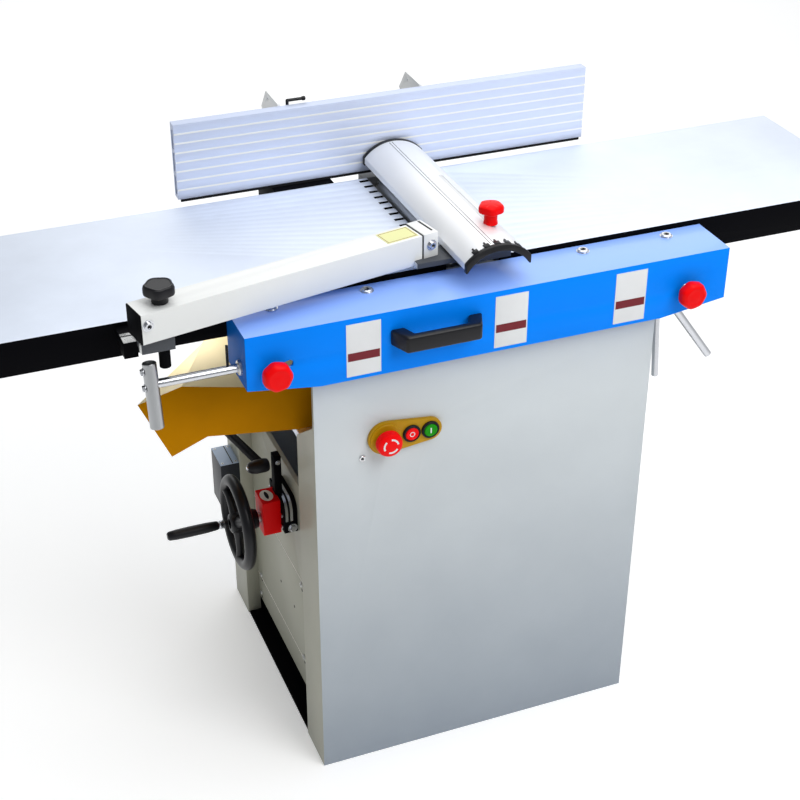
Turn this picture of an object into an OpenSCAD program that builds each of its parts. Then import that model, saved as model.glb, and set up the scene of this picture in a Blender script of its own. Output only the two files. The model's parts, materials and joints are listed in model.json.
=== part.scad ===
// Combination planer thicknesser: tilting surface planer tables over a sheet steel cabinet
// Millimetres. Origin on the floor under the cabinet's middle, +X right along the tables,
// +Y towards the fence, +Z up. The operator stands at -Y.

/* [Cabinet] */
// Width of the cabinet along the tables
cab_w = 554; // [530:1:580]
// Depth of the cabinet from operator side to fence side
cab_d = 506; // [496:1:530]
// Top of the folded panels below the table surface
cab_drop = 114; // [112:1:124]
// Thickness of the sheet steel
sheet = 2; // [1.5:0.5:3]
// Depth of the front corner columns
front_col = 84; // [80:1:88]
// Depth of the rear corner columns
rear_col = 78; // [74:1:82]
// Distance of the side panels behind the column faces
recess = 25; // [18:1:32]
// Top edge of the side panels below the thicknesser bed
side_drop = 133; // [130:1:142]
// Height of the side panels' lower edge
side_low = 38; // [20:1:60]
// Inward fold along a side panel's top edge
side_fold = 6; // [4:1:24]
// Thickness of the floor plate
floor_t = 4; // [3:0.5:6]
// Spacing of the floor anchor holes along X
anchor_x = 440; // [400:5:460]
// Spacing of the floor anchor holes along Y
anchor_y = 400; // [360:5:420]
// Radius of a floor anchor hole
anchor_r = 6; // [5:0.5:8]
// Radius of a side panel screw head
screw_r = 4.5; // [3.5:0.5:6]
// Height of a side panel screw head
screw_h = 3; // [2:0.5:4]
// Number of cooling slots in the rear panel
vent_count = 6; // [3:1:8]

/* [Tables] */
// Height of the outfeed table surface above the floor
table_h = 860; // [800:1:920]
// Distance of each table's outer end from the cutterhead axis
table_reach = 710; // [640:5:760]
// Front edge of the tables, measured from the cabinet's middle
table_front = 185; // [183:0.5:187]
// Rear edge of the tables, measured from the cabinet's middle
table_rear = 145; // [143:0.5:147]
// Thickness of a table plate
table_t = 12; // [10:0.5:12.5]
// Depth of a table's skirt below its surface
skirt = 53; // [46:1:53.5]
// Thickness of a table's skirt
skirt_t = 10; // [7:0.5:14]
// Gap from the cutterhead axis to a table lip
lip_gap = 44; // [43.5:0.5:50]
// Length of the thin lip between the skirt and the cutterhead
lip_len = 66; // [62:1:80]
// Rest height of the infeed table below the outfeed table
cut_depth = 1; // [0:0.25:2]
// Number of noise slots in a table lip
slot_count = 15; // [6:1:18]
// Width of a noise slot
noise_w = 7; // [4:0.5:9]
// Length of a noise slot
noise_len = 16; // [8:1:24]
// Slope of the table ways in degrees
way_angle = 14; // [12:0.5:16]
// Length of a way pad on a tilt arm
way_len = 40; // [30:1:50]
// Width of a way pad on a tilt arm
way_w = 26; // [16:1:40]
// Depth of the sloping ways below the table surface
way_drop = 48; // [45:0.5:49]
// Gap between sliding flat faces
slide_gap = 0.2; // [0.1:0.05:0.4]

/* [Apron and tilt frame] */
// Length of the apron
apron_w = 760; // [740:2:790]
// Front face of the apron, measured from the cabinet's middle
apron_front = 278; // [275:0.5:284]
// Rear edge of the apron's top
apron_back = 189; // [188:0.5:194]
// Height of the apron's top below the table surface
apron_drop = 8; // [7:0.5:8.5]
// Lower edge of the apron below the table surface
apron_deep = 107; // [102:0.5:109]
// Length of the apron's straight lower edge
apron_flat = 544; // [520:2:580]
// Rise of the apron's lower corners
apron_rise = 15; // [10:1:24]
// Thickness of the apron
apron_t = 4; // [3:0.5:4.5]
// Width of the fold along the apron's lower edge
apron_fold = 14; // [8:1:18]
// Radius of an apron screw head
apron_screw_r = 9; // [6:0.5:10]
// Height of an apron screw head
apron_screw_h = 3; // [2:0.5:4]
// Centre of a tilt arm from the cutterhead axis
arm_x = 230; // [226:1:234]
// Width of a tilt arm
arm_w = 22; // [16:1:24]
// Underside of the tilt arms below the table surface
arm_drop = 82; // [80:0.5:84]
// Depth of a tilt arm
arm_t = 22; // [18:0.5:23]
// Hinge axis in front of the cabinet's rear face
hinge_in = 38; // [35:0.5:41]
// Hinge axis below the table surface
hinge_drop = 70; // [67:0.5:72]
// Radius of a hinge pin
hinge_r = 8; // [6:0.5:9]
// Radius of a tilt arm's hinge eye
eye_r = 16; // [13:0.5:18]
// Thickness of a hinge bracket cheek
cheek_t = 12; // [8:1:16]
// Running clearance on a radius
run_c = 0.05; // [0.02:0.01:0.08]
// Width of the lift handle
handle_w = 142; // [120:2:170]
// Reach of the lift handle in front of the apron
handle_d = 34; // [30:1:44]
// Height of the lift handle's bar
handle_h = 26; // [20:1:32]
// Centre of the lift handle from the cutterhead axis
handle_x = -98; // [-120:1:-80]
// Thickness of the lift handle's bar
handle_t = 13; // [9:0.5:14]

/* [Table clamps and levers] */
// Outfeed clamp stud on its way from the tilt arm to the apron's left end
out_stud_at = 0.74; // [0.7:0.01:0.78]
// Infeed clamp stud on its way from the tilt arm to the apron's right end
in_stud_at = 0.54; // [0.53:0.01:0.58]
// Infeed lever's pivot to the right of the cabinet
in_pivot_out = 20; // [14:1:30]
// Infeed lever's pivot below the table surface
in_pivot_drop = 82; // [80:0.5:84]
// Infeed lever's pivot behind the apron's front
in_pivot_in = 63; // [56:1:70]
// Right lock lever's pivot behind the cabinet's front
lock_pivot_in = 36; // [24:1:48]
// Right lock lever's pivot below the table surface
lock_pivot_drop = 132; // [126:1:140]
// Clamp studs below the table surface
stud_drop = 66; // [64:0.5:68]
// Radius of a clamp stud
stud_r = 5; // [4:0.5:5.5]
// Radius of a red clamp knob
knob_r = 22; // [18:0.5:24]
// Depth of a red clamp knob
knob_d = 26; // [20:1:32]
// Length of the slot beyond the outfeed stud
slot_run = 30; // [24:1:32]
// Radius of the left lock shaft
lock_r = 6; // [5:0.5:7]
// Left lock shaft in front of the cabinet's middle
lock_y = 250; // [248:0.5:254]
// Left lock shaft below the table surface
lock_drop = 68; // [66:0.5:70]
// Left lock lever's tube to the left of the guard post
lock_off = 21.5; // [20.5:0.5:23]
// Lean of the left lock lever's tube in degrees
lock_lean = -10; // [-14:1:0]
// Radius of the lock lever's tube
tube_r = 10; // [8:0.5:10.5]
// Length of the lock lever's tube above its shaft
tube_up = 32; // [28:1:38]
// Length of the lock lever's tube below its shaft
tube_down = 64; // [50:1:70]
// Radius of the right lock lever's rod
rod_r = 5.5; // [4:0.5:7]
// Length of the right lock lever
rod_len = 110; // [90:1:125]
// Radius of the infeed lever's rod
in_lever_r = 6.5; // [5:0.5:8]
// Length of the infeed lever from its pivot
in_lever_len = 186; // [150:2:200]
// Slope of the infeed lever from the vertical in degrees
in_lever_tilt = 36; // [32:1:42]

/* [Fence] */
// Length of the fence
fence_len = 708; // [640:4:760]
// Height of the fence profile
fence_h = 124; // [100:2:140]
// Thickness of the fence profile
fence_t = 18; // [14:0.5:19]
// Front face of the fence behind the cabinet's middle
fence_y = 160; // [159:0.5:163]
// Gap between table surface and fence
fence_gap = 6; // [4:0.5:8]
// Number of grooves along the fence face
groove_count = 8; // [4:1:10]
// Depth of a fence groove
groove_d = 1.6; // [0.8:0.2:2.2]
// Left fence bracket from the cutterhead axis
bracket_left = -178; // [-186:1:-177]
// Right fence bracket from the cutterhead axis
bracket_right = 63; // [50:1:80]
// Thickness of the fence slide bar
bar_w = 26; // [18:1:30]
// Height of the fence slide bar
bar_h = 22; // [16:1:24]
// Rear end of the fence slide bar behind the cabinet's middle
bar_end = 430; // [428:1:440]
// Centre of the slide bar from the cutterhead axis
bar_x = -150; // [-151:0.5:-149]
// Radius of a fence tilt pin
tilt_r = 6; // [4:0.5:7]

/* [Bridge guard] */
// Middle of the guard from the cutterhead axis
guard_x = 5; // [2:0.5:8]
// Outer radius of the guard's arch
guard_r = 66; // [65:0.5:67]
// Thickness of the guard's arch
guard_t = 6; // [4:0.5:6.5]
// Half width of the guard
guard_half = 50; // [46:0.5:52]
// Height of the guard's crest above the table surface
guard_crest = 55; // [54:0.25:58]
// Front end of the guard in front of the cabinet's middle
guard_front = 262; // [255:1:270]
// Gap between guard and fence
guard_gap = 2; // [1:0.5:4]
// Length of a guard end cap
cap_len = 8; // [5:0.5:12]
// Side of the guard arm's square tube
arm_side = 44; // [40:0.5:46]
// Wall of the guard arm's tube
arm_wall = 3; // [2:0.5:5]
// Swing of the guard arm from the tables' direction in degrees
arm_swing = 11.25; // [10.5:0.25:12]
// Guard post from the cutterhead axis
post_x = -484; // [-486:0.5:-482]
// Guard post in front of the cabinet's middle
post_y = 248; // [246:0.5:250]
// Radius of the guard post
post_r = 8; // [6:0.5:8.5]
// Length of the guard arm to the right of its post
arm_len = 406; // [404:0.5:408]
// Length of the guard arm to the left of its post
arm_tail = 38; // [30:1:44]

/* [Cutterhead and drive] */
// Radius of the cutting circle
cut_r = 37.5; // [36:0.25:38]
// Radius of the cutterhead body
head_r = 36; // [34:0.25:35.75]
// Gap between the cutterhead and the front head casting
cut_front_gap = 6; // [4:1:11]
// Gap between the cutterhead and the rear head casting
cut_rear_gap = 37; // [27:1:47]
// Radius of the cutterhead journals
journal_r = 7.5; // [6:0.25:8]
// Outer radius of a cutterhead bearing
bearing_r = 17.5; // [15:0.25:18]
// Width of a cutterhead bearing
bearing_w = 11; // [8:0.5:14]
// Radius of a feed roller
roller_r = 20; // [17:0.25:21]
// Distance of the feed rollers from the cutterhead axis
roller_x = 66; // [64:0.5:70]
// Radius of a feed roller journal
roller_j = 8; // [6:0.25:9]
// Radius of the cutterhead pulley
pulley_r = 23; // [20:0.25:24]
// Radius of the motor pulley
motor_pulley_r = 44; // [38:0.5:50]
// Width of the drive belt
belt_w = 20; // [14:0.5:22]
// Thickness of the drive belt
belt_t = 5; // [3:0.5:6]
// Height of the motor axis as a share of the bed support's height
motor_share = 0.52; // [0.5:0.01:0.54]
// Radius of the motor body
motor_r = 70; // [60:1:76]
// Length of the motor body
motor_len = 270; // [220:2:290]
// Thickness of a head casting
head_t = 24; // [22:0.5:26]
// Lower edge of the head castings below the table surface
head_deep = 220; // [200:1:230]

/* [Thicknesser bed] */
// Thicknesser bed at rest below the table surface
bed_drop = 270; // [264:0.5:276]
// Length of the thicknesser bed
bed_len = 530; // [500:2:540]
// Thickness of the bed plate
bed_t = 14; // [12:0.5:16]
// Depth of the ribs under the bed
bed_rib = 20; // [14:1:22]
// Radius of the bed's guide ram
ram_r = 40; // [32:0.5:44]
// Wall of the guide column
column_wall = 12; // [8:0.5:14]
// Top of the guide column below the thicknesser bed
column_drop = 160; // [156:1:170]
// Height of the bed support plate as a share of the handwheel shaft's height
support_share = 0.66; // [0.64:0.01:0.68]
// Thickness of the bed support plate
support_t = 12; // [8:0.5:14]
// Radius of the lift screw
lift_r = 10; // [8:0.5:11]
// Lift screw from the cutterhead axis
lift_x = -110; // [-114:1:-106]
// Handwheel shaft in front of the cabinet's middle
wheel_y = 45; // [42:0.5:48]
// Handwheel shaft below the side panels' top edge
wheel_drop = 79; // [77:0.5:81]
// Outer radius of the bevel gears
gear_r = 25; // [22:0.5:26]
// Face width of the bevel gears
gear_face = 12; // [9:0.5:12.5]
// Teeth of a bevel gear
gear_teeth = 20; // [12:1:24]
// Radius of the handwheel shaft
shaft_r = 8; // [6:0.5:9]
// Radius of the handwheel
wheel_r = 80; // [70:1:88]
// Radius of the handwheel's rim
rim_r = 10; // [7:0.5:12]
// Middle of the handwheel's rim from the cutterhead axis
wheel_x = -344; // [-350:1:-342]
// Radius of the crank on the handwheel
crank_at = 67; // [60:1:70]
// Length of the crank grip
crank_len = 96; // [80:1:110]
// Radius of the crank grip
crank_r = 9; // [7:0.5:11]
// Side of the square position indicator
gauge_side = 42; // [38:1:50]
// Height of the position indicator
gauge_h = 64; // [58:1:72]
// Length of the position indicator along the handwheel shaft
gauge_len = 30; // [24:1:34]
// Middle of the position indicator above the handwheel shaft
gauge_up = 8; // [4:1:12]
// Length of the handwheel's bearing block
block_len = 23; // [18:1:26]
// Width of the handwheel's bearing block
block_w = 76; // [64:1:84]
// Pivot of the feed lever in front of the cabinet's rear face
feed_in = 63; // [57:1:67]
// Pivot of the feed lever above the handwheel shaft
feed_up = 30; // [26:1:36]
// Radius of the feed lever's rod
feed_r = 7.5; // [5:0.5:8]
// Rise of the feed lever from its pivot to its knob
feed_rise = 70; // [64:1:76]
// Length of the feed lever's knob
feed_knob = 35; // [28:1:38]

/* [Switch] */
// Middle of the emergency stop from the cutterhead axis
estop_x = -168; // [-176:1:-160]
// Middle of the stop button from the cutterhead axis
stop_x = -127; // [-130:1:-124]
// Middle of the start button from the cutterhead axis
start_x = -97; // [-100:1:-92]
// Middle of the switch plate below the table surface
switch_drop = 231; // [220:1:250]
// Radius of the emergency stop's head
estop_r = 20; // [16:0.5:22]
// Radius of the start and stop buttons
button_r = 10.5; // [8:0.5:11.5]
// Thickness of the switch plate
plate_t = 6; // [4:0.5:8]
// Radius of the switch plate's left end
plate_left_r = 27; // [24:0.5:30]
// Radius of the switch plate's right end
plate_right_r = 19; // [16:0.5:21]
// Travel of a push button
press = 3; // [2:0.5:4]

/* [Dust hood] */
// Wall of the dust hood
hood_t = 2; // [1.5:0.5:3]
// Underside of the dust hood below the table surface
hood_deep = 256; // [250:0.5:258]
// Gap between the dust hood's front wall and the front head casting
hood_front_gap = 21; // [19:1:25]
// Gap between the dust hood's rear wall and the rear head casting
hood_rear_gap = 37; // [33:1:43]
// Ledges that carry the dust hood below the table surface
ledge_drop = 160; // [154:1:170]
// Thickness of the ledges that carry the dust hood
ledge_t = 10; // [6:1:14]
// Width of the flanges along the dust hood
flange_w = 10; // [8:0.5:12]

/* [Junction box] */
// Depth of the junction box
box_d = 34; // [28:1:40]
// Width of the junction box
box_w = 62; // [50:1:68]
// Height of the junction box
box_h = 98; // [80:1:110]
// Lower edge of the junction box below the handwheel shaft
box_drop = 137; // [130:1:150]

/* [Hidden] */
$fn = 64;
half_w = cab_w / 2;
half_d = cab_d / 2;
panel_x = half_w - recess;
cab_h = table_h - cab_drop;
bed_h = table_h - bed_drop;
side_top = bed_h - side_drop;
wheel_z = side_top - wheel_drop;
column_top = bed_h - column_drop;
support_z = wheel_z * support_share;
motor_z = support_z * motor_share;
way_h = table_h - way_drop;
apron_low = table_h - apron_deep;
arm_low = table_h - arm_drop;
hinge_z = table_h - hinge_drop;
stud_z = table_h - stud_drop;
lock_z = table_h - lock_drop;
lock_x = post_x - lock_off;
head_low = table_h - head_deep;
switch_z = table_h - switch_drop;
hood_low = table_h - hood_deep;
hood_cut_top = hood_low + 108;
ledge_z = table_h - ledge_drop;
box_z = wheel_z - box_drop;
feed_z = wheel_z + feed_up;
feed_x = -half_w - 27;
col_in = half_d - front_col;
rear_in = half_d - rear_col;
front_face = -col_in - sheet;
rear_face = rear_in + sheet;
hinge_y = half_d - hinge_in;
feed_y = half_d - feed_in;
cut_front = -front_face - cut_front_gap;
cut_rear = rear_face - cut_rear_gap;
hood_front = -front_face - hood_front_gap;
hood_rear = rear_face - hood_rear_gap;
out_stud_x = -arm_x - out_stud_at * (apron_w / 2 - arm_x);
in_stud_x = arm_x + in_stud_at * (apron_w / 2 - arm_x);
cut_z = table_h - cut_r;
apron_top = table_h - apron_drop;
apron_in = apron_top - apron_t;
arm_top = arm_low + arm_t;
way_dir = [cos(way_angle), 0, sin(way_angle)];
stud_slot = stud_r + 0.5;
slot_out = [-2 - stud_slot, slot_run];
slot_in = [-4 - stud_slot, 16 + stud_slot];
stud_lug = 15;
fence_low = table_h + fence_gap;
tilt_y = fence_y + fence_t + 18;
tilt_z = fence_low + tilt_r + 2;
bar_low = table_h + 2;
guide_y0 = tilt_y + 33;
guide_y1 = guide_y0 + 24;
beam_y0 = tilt_y + 13;
beam_y1 = guide_y0 - 4;
base_x0 = bar_x - 50;
base_x1 = bar_x + 50;
guard_z = table_h + guard_crest - guard_r;
guard_y0 = -guard_front;
guard_y1 = fence_y - guard_gap;
guard_in = guard_r - guard_t;
arch_low = 30;
carrier_r = guard_in - 0.3;
arm_z0 = table_h + 10;
clamp_x = guard_x + 20;
clamp_y = -post_y + arm_len * sin(arm_swing) - 17;
clamp_r = 4;
collar_h = 3.4;
ram_x = 40;
ram_y = 20;
support_top = support_z + support_t;
gear_in = gear_r - gear_face;
mesh_gap = 0.4;
bridge_z = wheel_z + gear_r + 3;
bridge_t = 12;
nut_r = 16;
bed_low = bed_h - bed_t;
belt_y = rear_in + head_t + sheet + 5;
roller_z = cut_z - cut_r + roller_r - 1.5;
tower_half = 38;
shoulder_half = 95;
head_z = table_h - 90;
rear_head_z = table_h - 115;
tower_z = cut_z + bearing_r + 5;
shoulder_z = roller_z + roller_j + 7;
gauge_x1 = -panel_x - sheet - block_len;
gauge_x0 = gauge_x1 - gauge_len;
gauge_top = wheel_z + gauge_up + gauge_h / 2;
lock_pivot_z = table_h - lock_pivot_drop;
lock_pivot_y = -half_d + lock_pivot_in;
in_pivot = [half_w + in_pivot_out, -apron_front + in_pivot_in, table_h - in_pivot_drop];

// Box between two corners
module block(x0, x1, y0, y1, z0, z1) {
    translate([x0, y0, z0]) cube([x1 - x0, y1 - y0, z1 - z0]);
}

// Round bar along X
module bar_along_x(x0, x1, y, z, r) {
    translate([x0, y, z]) rotate([0, 90, 0]) cylinder(h = x1 - x0, r = r);
}

// Round bar along Y
module bar_along_y(y0, y1, x, z, r) {
    translate([x, y0, z]) rotate([-90, 0, 0]) cylinder(h = y1 - y0, r = r);
}

// Flat shape drawn in X and Z, thickened from y0 to y1
module slab_xz(y0, y1) {
    translate([0, y1, 0]) rotate([90, 0, 0]) linear_extrude(y1 - y0) children();
}

// Flat shape drawn in Y and Z, thickened from x0 to x1
module slab_yz(x0, x1) {
    translate([x0, 0, 0]) rotate([90, 0, 90]) linear_extrude(x1 - x0) children();
}

// The same piece on the left and on the right
module both_sides() {
    children();
    mirror([1, 0, 0]) children();
}

// Folded sheet with a column at each side, open towards the cabinet's inside
module folded_panel(col) {
    block(-half_w, half_w, -half_d, -half_d + sheet, 0, cab_h);
    both_sides() {
        block(-half_w, -half_w + sheet, -half_d, -half_d + col, 0, cab_h);
        block(-half_w, -panel_x, -half_d + col - sheet, -half_d + col, 0, cab_h);
    }
}

// Slanting opening of the left front column beside the hood
module hood_opening() {
    y0 = -half_d + sheet + 5;
    y1 = -col_in + 1;
    translate([-half_w - 1, 0, 0]) rotate([90, 0, 90]) linear_extrude(height = recess + 2)
        polygon([[y0, hood_low + 60], [y1, hood_low + 3], [y1, hood_cut_top - 22], [y0, hood_cut_top + 30]]);
}

module cabinet_front() {
    color("whitesmoke") difference() {
        folded_panel(front_col);
        slab_xz(-half_d - 1, -half_d + sheet + 1) switch_outline(-3);
        bar_along_x(half_w - sheet - 1, half_w + 1, lock_pivot_y, lock_pivot_z, rod_r + 0.5 + run_c);
        hood_opening();
    }
}

module cabinet_rear() {
    vent_step = 22;
    color("gainsboro") {
        difference() {
            mirror([0, 1, 0]) folded_panel(rear_col);
            for (i = [0 : vent_count - 1])
                block(-60, 60, half_d - sheet - 1, half_d + 1, 80 + i * vent_step, 88 + i * vent_step);
        }
        bar_along_x(feed_x - 1, -half_w + 1, feed_y, feed_z, 5);
    }
}

module side_panel() {
    difference() {
        union() {
            block(-panel_x - sheet, -panel_x, -col_in, rear_in, side_low, side_top);
            block(-panel_x - sheet, -panel_x + side_fold, -col_in, rear_in, side_top - sheet, side_top);
        }
        children();
    }
}

module left_side_panel() {
    color("antiquewhite") side_panel()
        bar_along_x(-panel_x - sheet - 1, -panel_x + 1, -wheel_y, wheel_z, shaft_r + 4);
}

module right_side_panel() {
    color("antiquewhite") mirror([1, 0, 0]) side_panel();
}

module side_panel_screws() {
    edge = 18;
    color("silver") both_sides()
        for (y = [-col_in + edge, rear_in - edge])
            for (z = [side_low + edge, 0.56 * side_low + 0.44 * side_top, side_top - edge - 8])
                bar_along_x(-panel_x - sheet - screw_h, -panel_x - sheet, y, z, screw_r);
}

module base_frame() {
    color("dimgray") difference() {
        block(-half_w + sheet, half_w - sheet, -half_d + sheet, half_d - sheet, 0, floor_t);
        both_sides() {
            block(-half_w, -panel_x, front_face, -col_in, -1, floor_t + 1);
            block(-half_w, -panel_x, rear_in, rear_face, -1, floor_t + 1);
        }
        for (x = [-1, 1])
            for (y = [-1, 1])
                translate([x * anchor_x / 2, y * anchor_y / 2, -1])
                    cylinder(h = floor_t + 2, r = anchor_r);
    }
}

module bed_support() {
    foot = 40;
    color("dimgray") difference() {
        union() {
            block(-panel_x, panel_x, -col_in, rear_in, support_z, support_top);
            translate([ram_x, ram_y, support_top])
                cylinder(h = column_top - support_top, r = ram_r + column_wall);
            block(lift_x - 30, lift_x + 30, 0, 12, support_top, bridge_z + bridge_t);
            block(lift_x - 30, lift_x + 30, -wheel_y - 25, 12, bridge_z, bridge_z + bridge_t);
            block(lift_x - foot - 16, lift_x - foot, -wheel_y - 17, 12, support_top, wheel_z + 22);
        }
        translate([ram_x, ram_y, support_z - 1])
            cylinder(h = column_top - support_z + 2, r = ram_r + run_c);
        translate([lift_x, -wheel_y, support_z - 1])
            cylinder(h = bridge_z - support_z, r = lift_r + 2);
        translate([lift_x, -wheel_y, bridge_z - 1])
            cylinder(h = bridge_t + 2, r = nut_r + run_c);
        bar_along_x(lift_x - foot - 17, lift_x - foot + 1, -wheel_y, wheel_z, shaft_r + run_c);
    }
}

module motor_body() {
    y1 = rear_in - 25;
    y0 = y1 - motor_len;
    color("slategray") difference() {
        union() {
            bar_along_y(y0, y1, 0, motor_z, motor_r - 4);
            for (i = [0 : 11])
                bar_along_y(y0 + 30 + i * 16, y0 + 36 + i * 16, 0, motor_z, motor_r);
            block(-motor_r * 0.8, motor_r * 0.8, y0 + 20, y1 - 20, floor_t, motor_z - 30);
        }
        bar_along_y(y1 - 30, y1 + 1, 0, motor_z, 12 + run_c);
    }
}

// Pulley with belt ribs along Y
module ribbed_pulley(y0, y1, z, r, bore) {
    difference() {
        bar_along_y(y0, y1, 0, z, r);
        if (bore > 0) bar_along_y(y0 - 1, y1 + 1, 0, z, bore);
    }
}

module motor_pulley() {
    y1 = rear_in - 25;
    color("silver") {
        bar_along_y(y1 - 29, belt_y + belt_w + 4, 0, motor_z, 12);
        ribbed_pulley(belt_y - 3, belt_y + belt_w + 3, motor_z, motor_pulley_r, 0);
    }
}

module cutterhead_pulley() {
    color("silver")
        ribbed_pulley(belt_y - 3, belt_y + belt_w + 3, cut_z, pulley_r, journal_r + run_c);
}

// Outline around both pulleys at a given distance from their rims
module belt_outline(d) {
    hull() {
        translate([0, motor_z]) circle(motor_pulley_r + d);
        translate([0, cut_z]) circle(pulley_r + d);
    }
}

module drive_belt() {
    color("black") slab_xz(belt_y, belt_y + belt_w) difference() {
        belt_outline(0.3 + belt_t);
        belt_outline(0.3);
    }
}

// Outline of a head casting with its bearing tower, side shoulders at height z
module head_outline(z) {
    w = half_w - sheet;
    polygon([[-w, head_low], [w, head_low], [w, z], [shoulder_half, z],
        [shoulder_half, shoulder_z], [tower_half, shoulder_z], [tower_half, tower_z],
        [-tower_half, tower_z], [-tower_half, shoulder_z], [-shoulder_half, shoulder_z],
        [-shoulder_half, z], [-w, z]]);
}

// Bores through a head casting for the cutterhead and the feed rollers
module head_bores(y0, y1) {
    bar_along_y(y0, y1, 0, cut_z, bearing_r);
    for (x = [-roller_x, roller_x])
        bar_along_y(y0, y1, x, roller_z, roller_j + run_c);
}

module front_head() {
    color("darkslategray") {
        difference() {
            slab_xz(front_face - head_t, front_face) head_outline(head_z);
            head_bores(front_face - head_t - 1, front_face + 1);
            block(-half_w, -panel_x + 6, front_face - head_t - 1, front_face + 1, head_low - 1, hood_cut_top);
        }
        both_sides()
            block(arm_x - 15, arm_x + 15, front_face - head_t, front_face, head_z - 1, arm_low - 0.3);
        block(-half_w + 40, 110, front_face, -hood_front - flange_w + 4, ledge_z - ledge_t, ledge_z);
    }
}

module rear_head() {
    color("darkslategray") {
        difference() {
            slab_xz(rear_face, rear_face + head_t) head_outline(rear_head_z);
            head_bores(rear_face - 1, rear_face + head_t + 1);
        }
        block(-half_w + 40, 110, hood_rear + flange_w - 4, rear_face, ledge_z - ledge_t, ledge_z);
    }
}

// Ring along Y
module ring_along_y(y0, y1, x, z, r, bore) {
    difference() {
        bar_along_y(y0, y1, x, z, r);
        bar_along_y(y0 - 1, y1 + 1, x, z, bore);
    }
}

module cutterhead_bearings() {
    mid = (head_t - bearing_w) / 2;
    color("silver") {
        ring_along_y(front_face - head_t + mid, front_face - mid, 0, cut_z,
            bearing_r - run_c, journal_r + run_c);
        ring_along_y(rear_face + mid, rear_face + head_t - mid, 0, cut_z,
            bearing_r - run_c, journal_r + run_c);
    }
}

knife_t = 3;
knife_w = 18;
knife_gap = 0.1;

// Blade slot or blade at one of three places round the cutterhead
module knife_at(turn, grow, y0, y1, out) {
    translate([0, 0, cut_z]) rotate([0, turn, 0])
        block(-knife_t / 2 - grow, knife_t / 2 + grow, y0, y1, cut_r - knife_w - grow, out);
}

module cutterhead() {
    color("gray") difference() {
        union() {
            bar_along_y(-cut_front, cut_rear, 0, cut_z, head_r);
            bar_along_y(front_face - head_t, belt_y + belt_w + 3, 0, cut_z, journal_r);
        }
        for (turn = [0, 120, 240])
            knife_at(turn, knife_gap, -cut_front - 1, cut_rear + 1, cut_r + 1);
    }
}

module knives() {
    color("silver") for (turn = [0, 120, 240])
        knife_at(turn, 0, -cut_front, cut_rear, cut_r - 0.2);
}

// Feed roller with its journals
module feed_roller(x) {
    bar_along_y(-cut_front, cut_rear, x, roller_z, roller_r);
    bar_along_y(front_face - head_t, rear_face + head_t, x, roller_z, roller_j);
}

module infeed_roller() {
    color("gray") feed_roller(roller_x);
}

module outfeed_roller() {
    color("gray") feed_roller(-roller_x);
}

module hinge_brackets() {
    inner = arm_w / 2 + 1;
    base_top = rear_head_z + 10;
    color("dimgray") both_sides() difference() {
        union() {
            block(arm_x - inner - cheek_t, arm_x + inner + cheek_t, rear_face, hinge_y + eye_r,
                rear_head_z, base_top);
            for (x = [arm_x - inner - cheek_t, arm_x + inner]) {
                block(x, x + cheek_t, rear_face, hinge_y + eye_r, base_top - 1, hinge_z);
                bar_along_x(x, x + cheek_t, hinge_y, hinge_z, eye_r);
            }
        }
        bar_along_x(0, half_w, hinge_y, hinge_z, hinge_r + run_c);
    }
}

module hinge_pins() {
    reach = arm_w / 2 + 1 + cheek_t;
    color("silver") both_sides() {
        bar_along_x(arm_x - reach, arm_x + reach, hinge_y, hinge_z, hinge_r);
        bar_along_x(arm_x + reach, arm_x + reach + 4, hinge_y, hinge_z, hinge_r + 4);
    }
}

// Outline of the switch plate, grown or shrunk by d
module switch_outline(d) {
    right_x = start_x;
    translate([estop_x, switch_z]) circle(plate_left_r + d);
    translate([right_x, switch_z]) circle(plate_right_r + d);
    polygon([
        [estop_x + 4, switch_z - plate_left_r - d], [right_x + 1, switch_z - plate_right_r - d],
        [right_x + 1, switch_z + plate_right_r + d], [estop_x + 4, switch_z + plate_left_r + d]]);
}

// Stems of the three buttons, grown by c
module button_stems(c, y0, y1) {
    bar_along_y(y0, y1, estop_x, switch_z, button_r + c);
    bar_along_y(y0, y1, stop_x, switch_z, button_r + c);
    bar_along_y(y0, y1, start_x, switch_z, button_r + c);
}

switch_back = 34;

module switch_plate() {
    color("orange") difference() {
        union() {
            slab_xz(-half_d - plate_t, -half_d) switch_outline(0);
            slab_xz(-half_d, -half_d + switch_back) switch_outline(-3.3);
        }
        button_stems(run_c, -half_d - plate_t - 1, -half_d + switch_back - 4);
    }
}

module estop_button() {
    y0 = -half_d - plate_t;
    color("red") {
        bar_along_y(y0 - 8, -half_d + 20, estop_x, switch_z, button_r);
        bar_along_y(y0 - 24, y0 - 8, estop_x, switch_z, estop_r);
    }
}

// Flush push button with a short stand above the plate
module push_button(x) {
    bar_along_y(-half_d - plate_t - press - 2, -half_d + 20, x, switch_z, button_r);
}

module stop_button() {
    color("red") push_button(stop_x);
}

module start_button() {
    color("limegreen") push_button(start_x);
}

module junction_box() {
    y0 = half_d - rear_col + 3;
    color("midnightblue") {
        block(-half_w - box_d, -half_w, y0, y0 + box_w, box_z, box_z + box_h);
        translate([-half_w - box_d / 2, y0 + box_w / 2, box_z - 14]) cylinder(h = 14, r = 9);
    }
}

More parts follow.
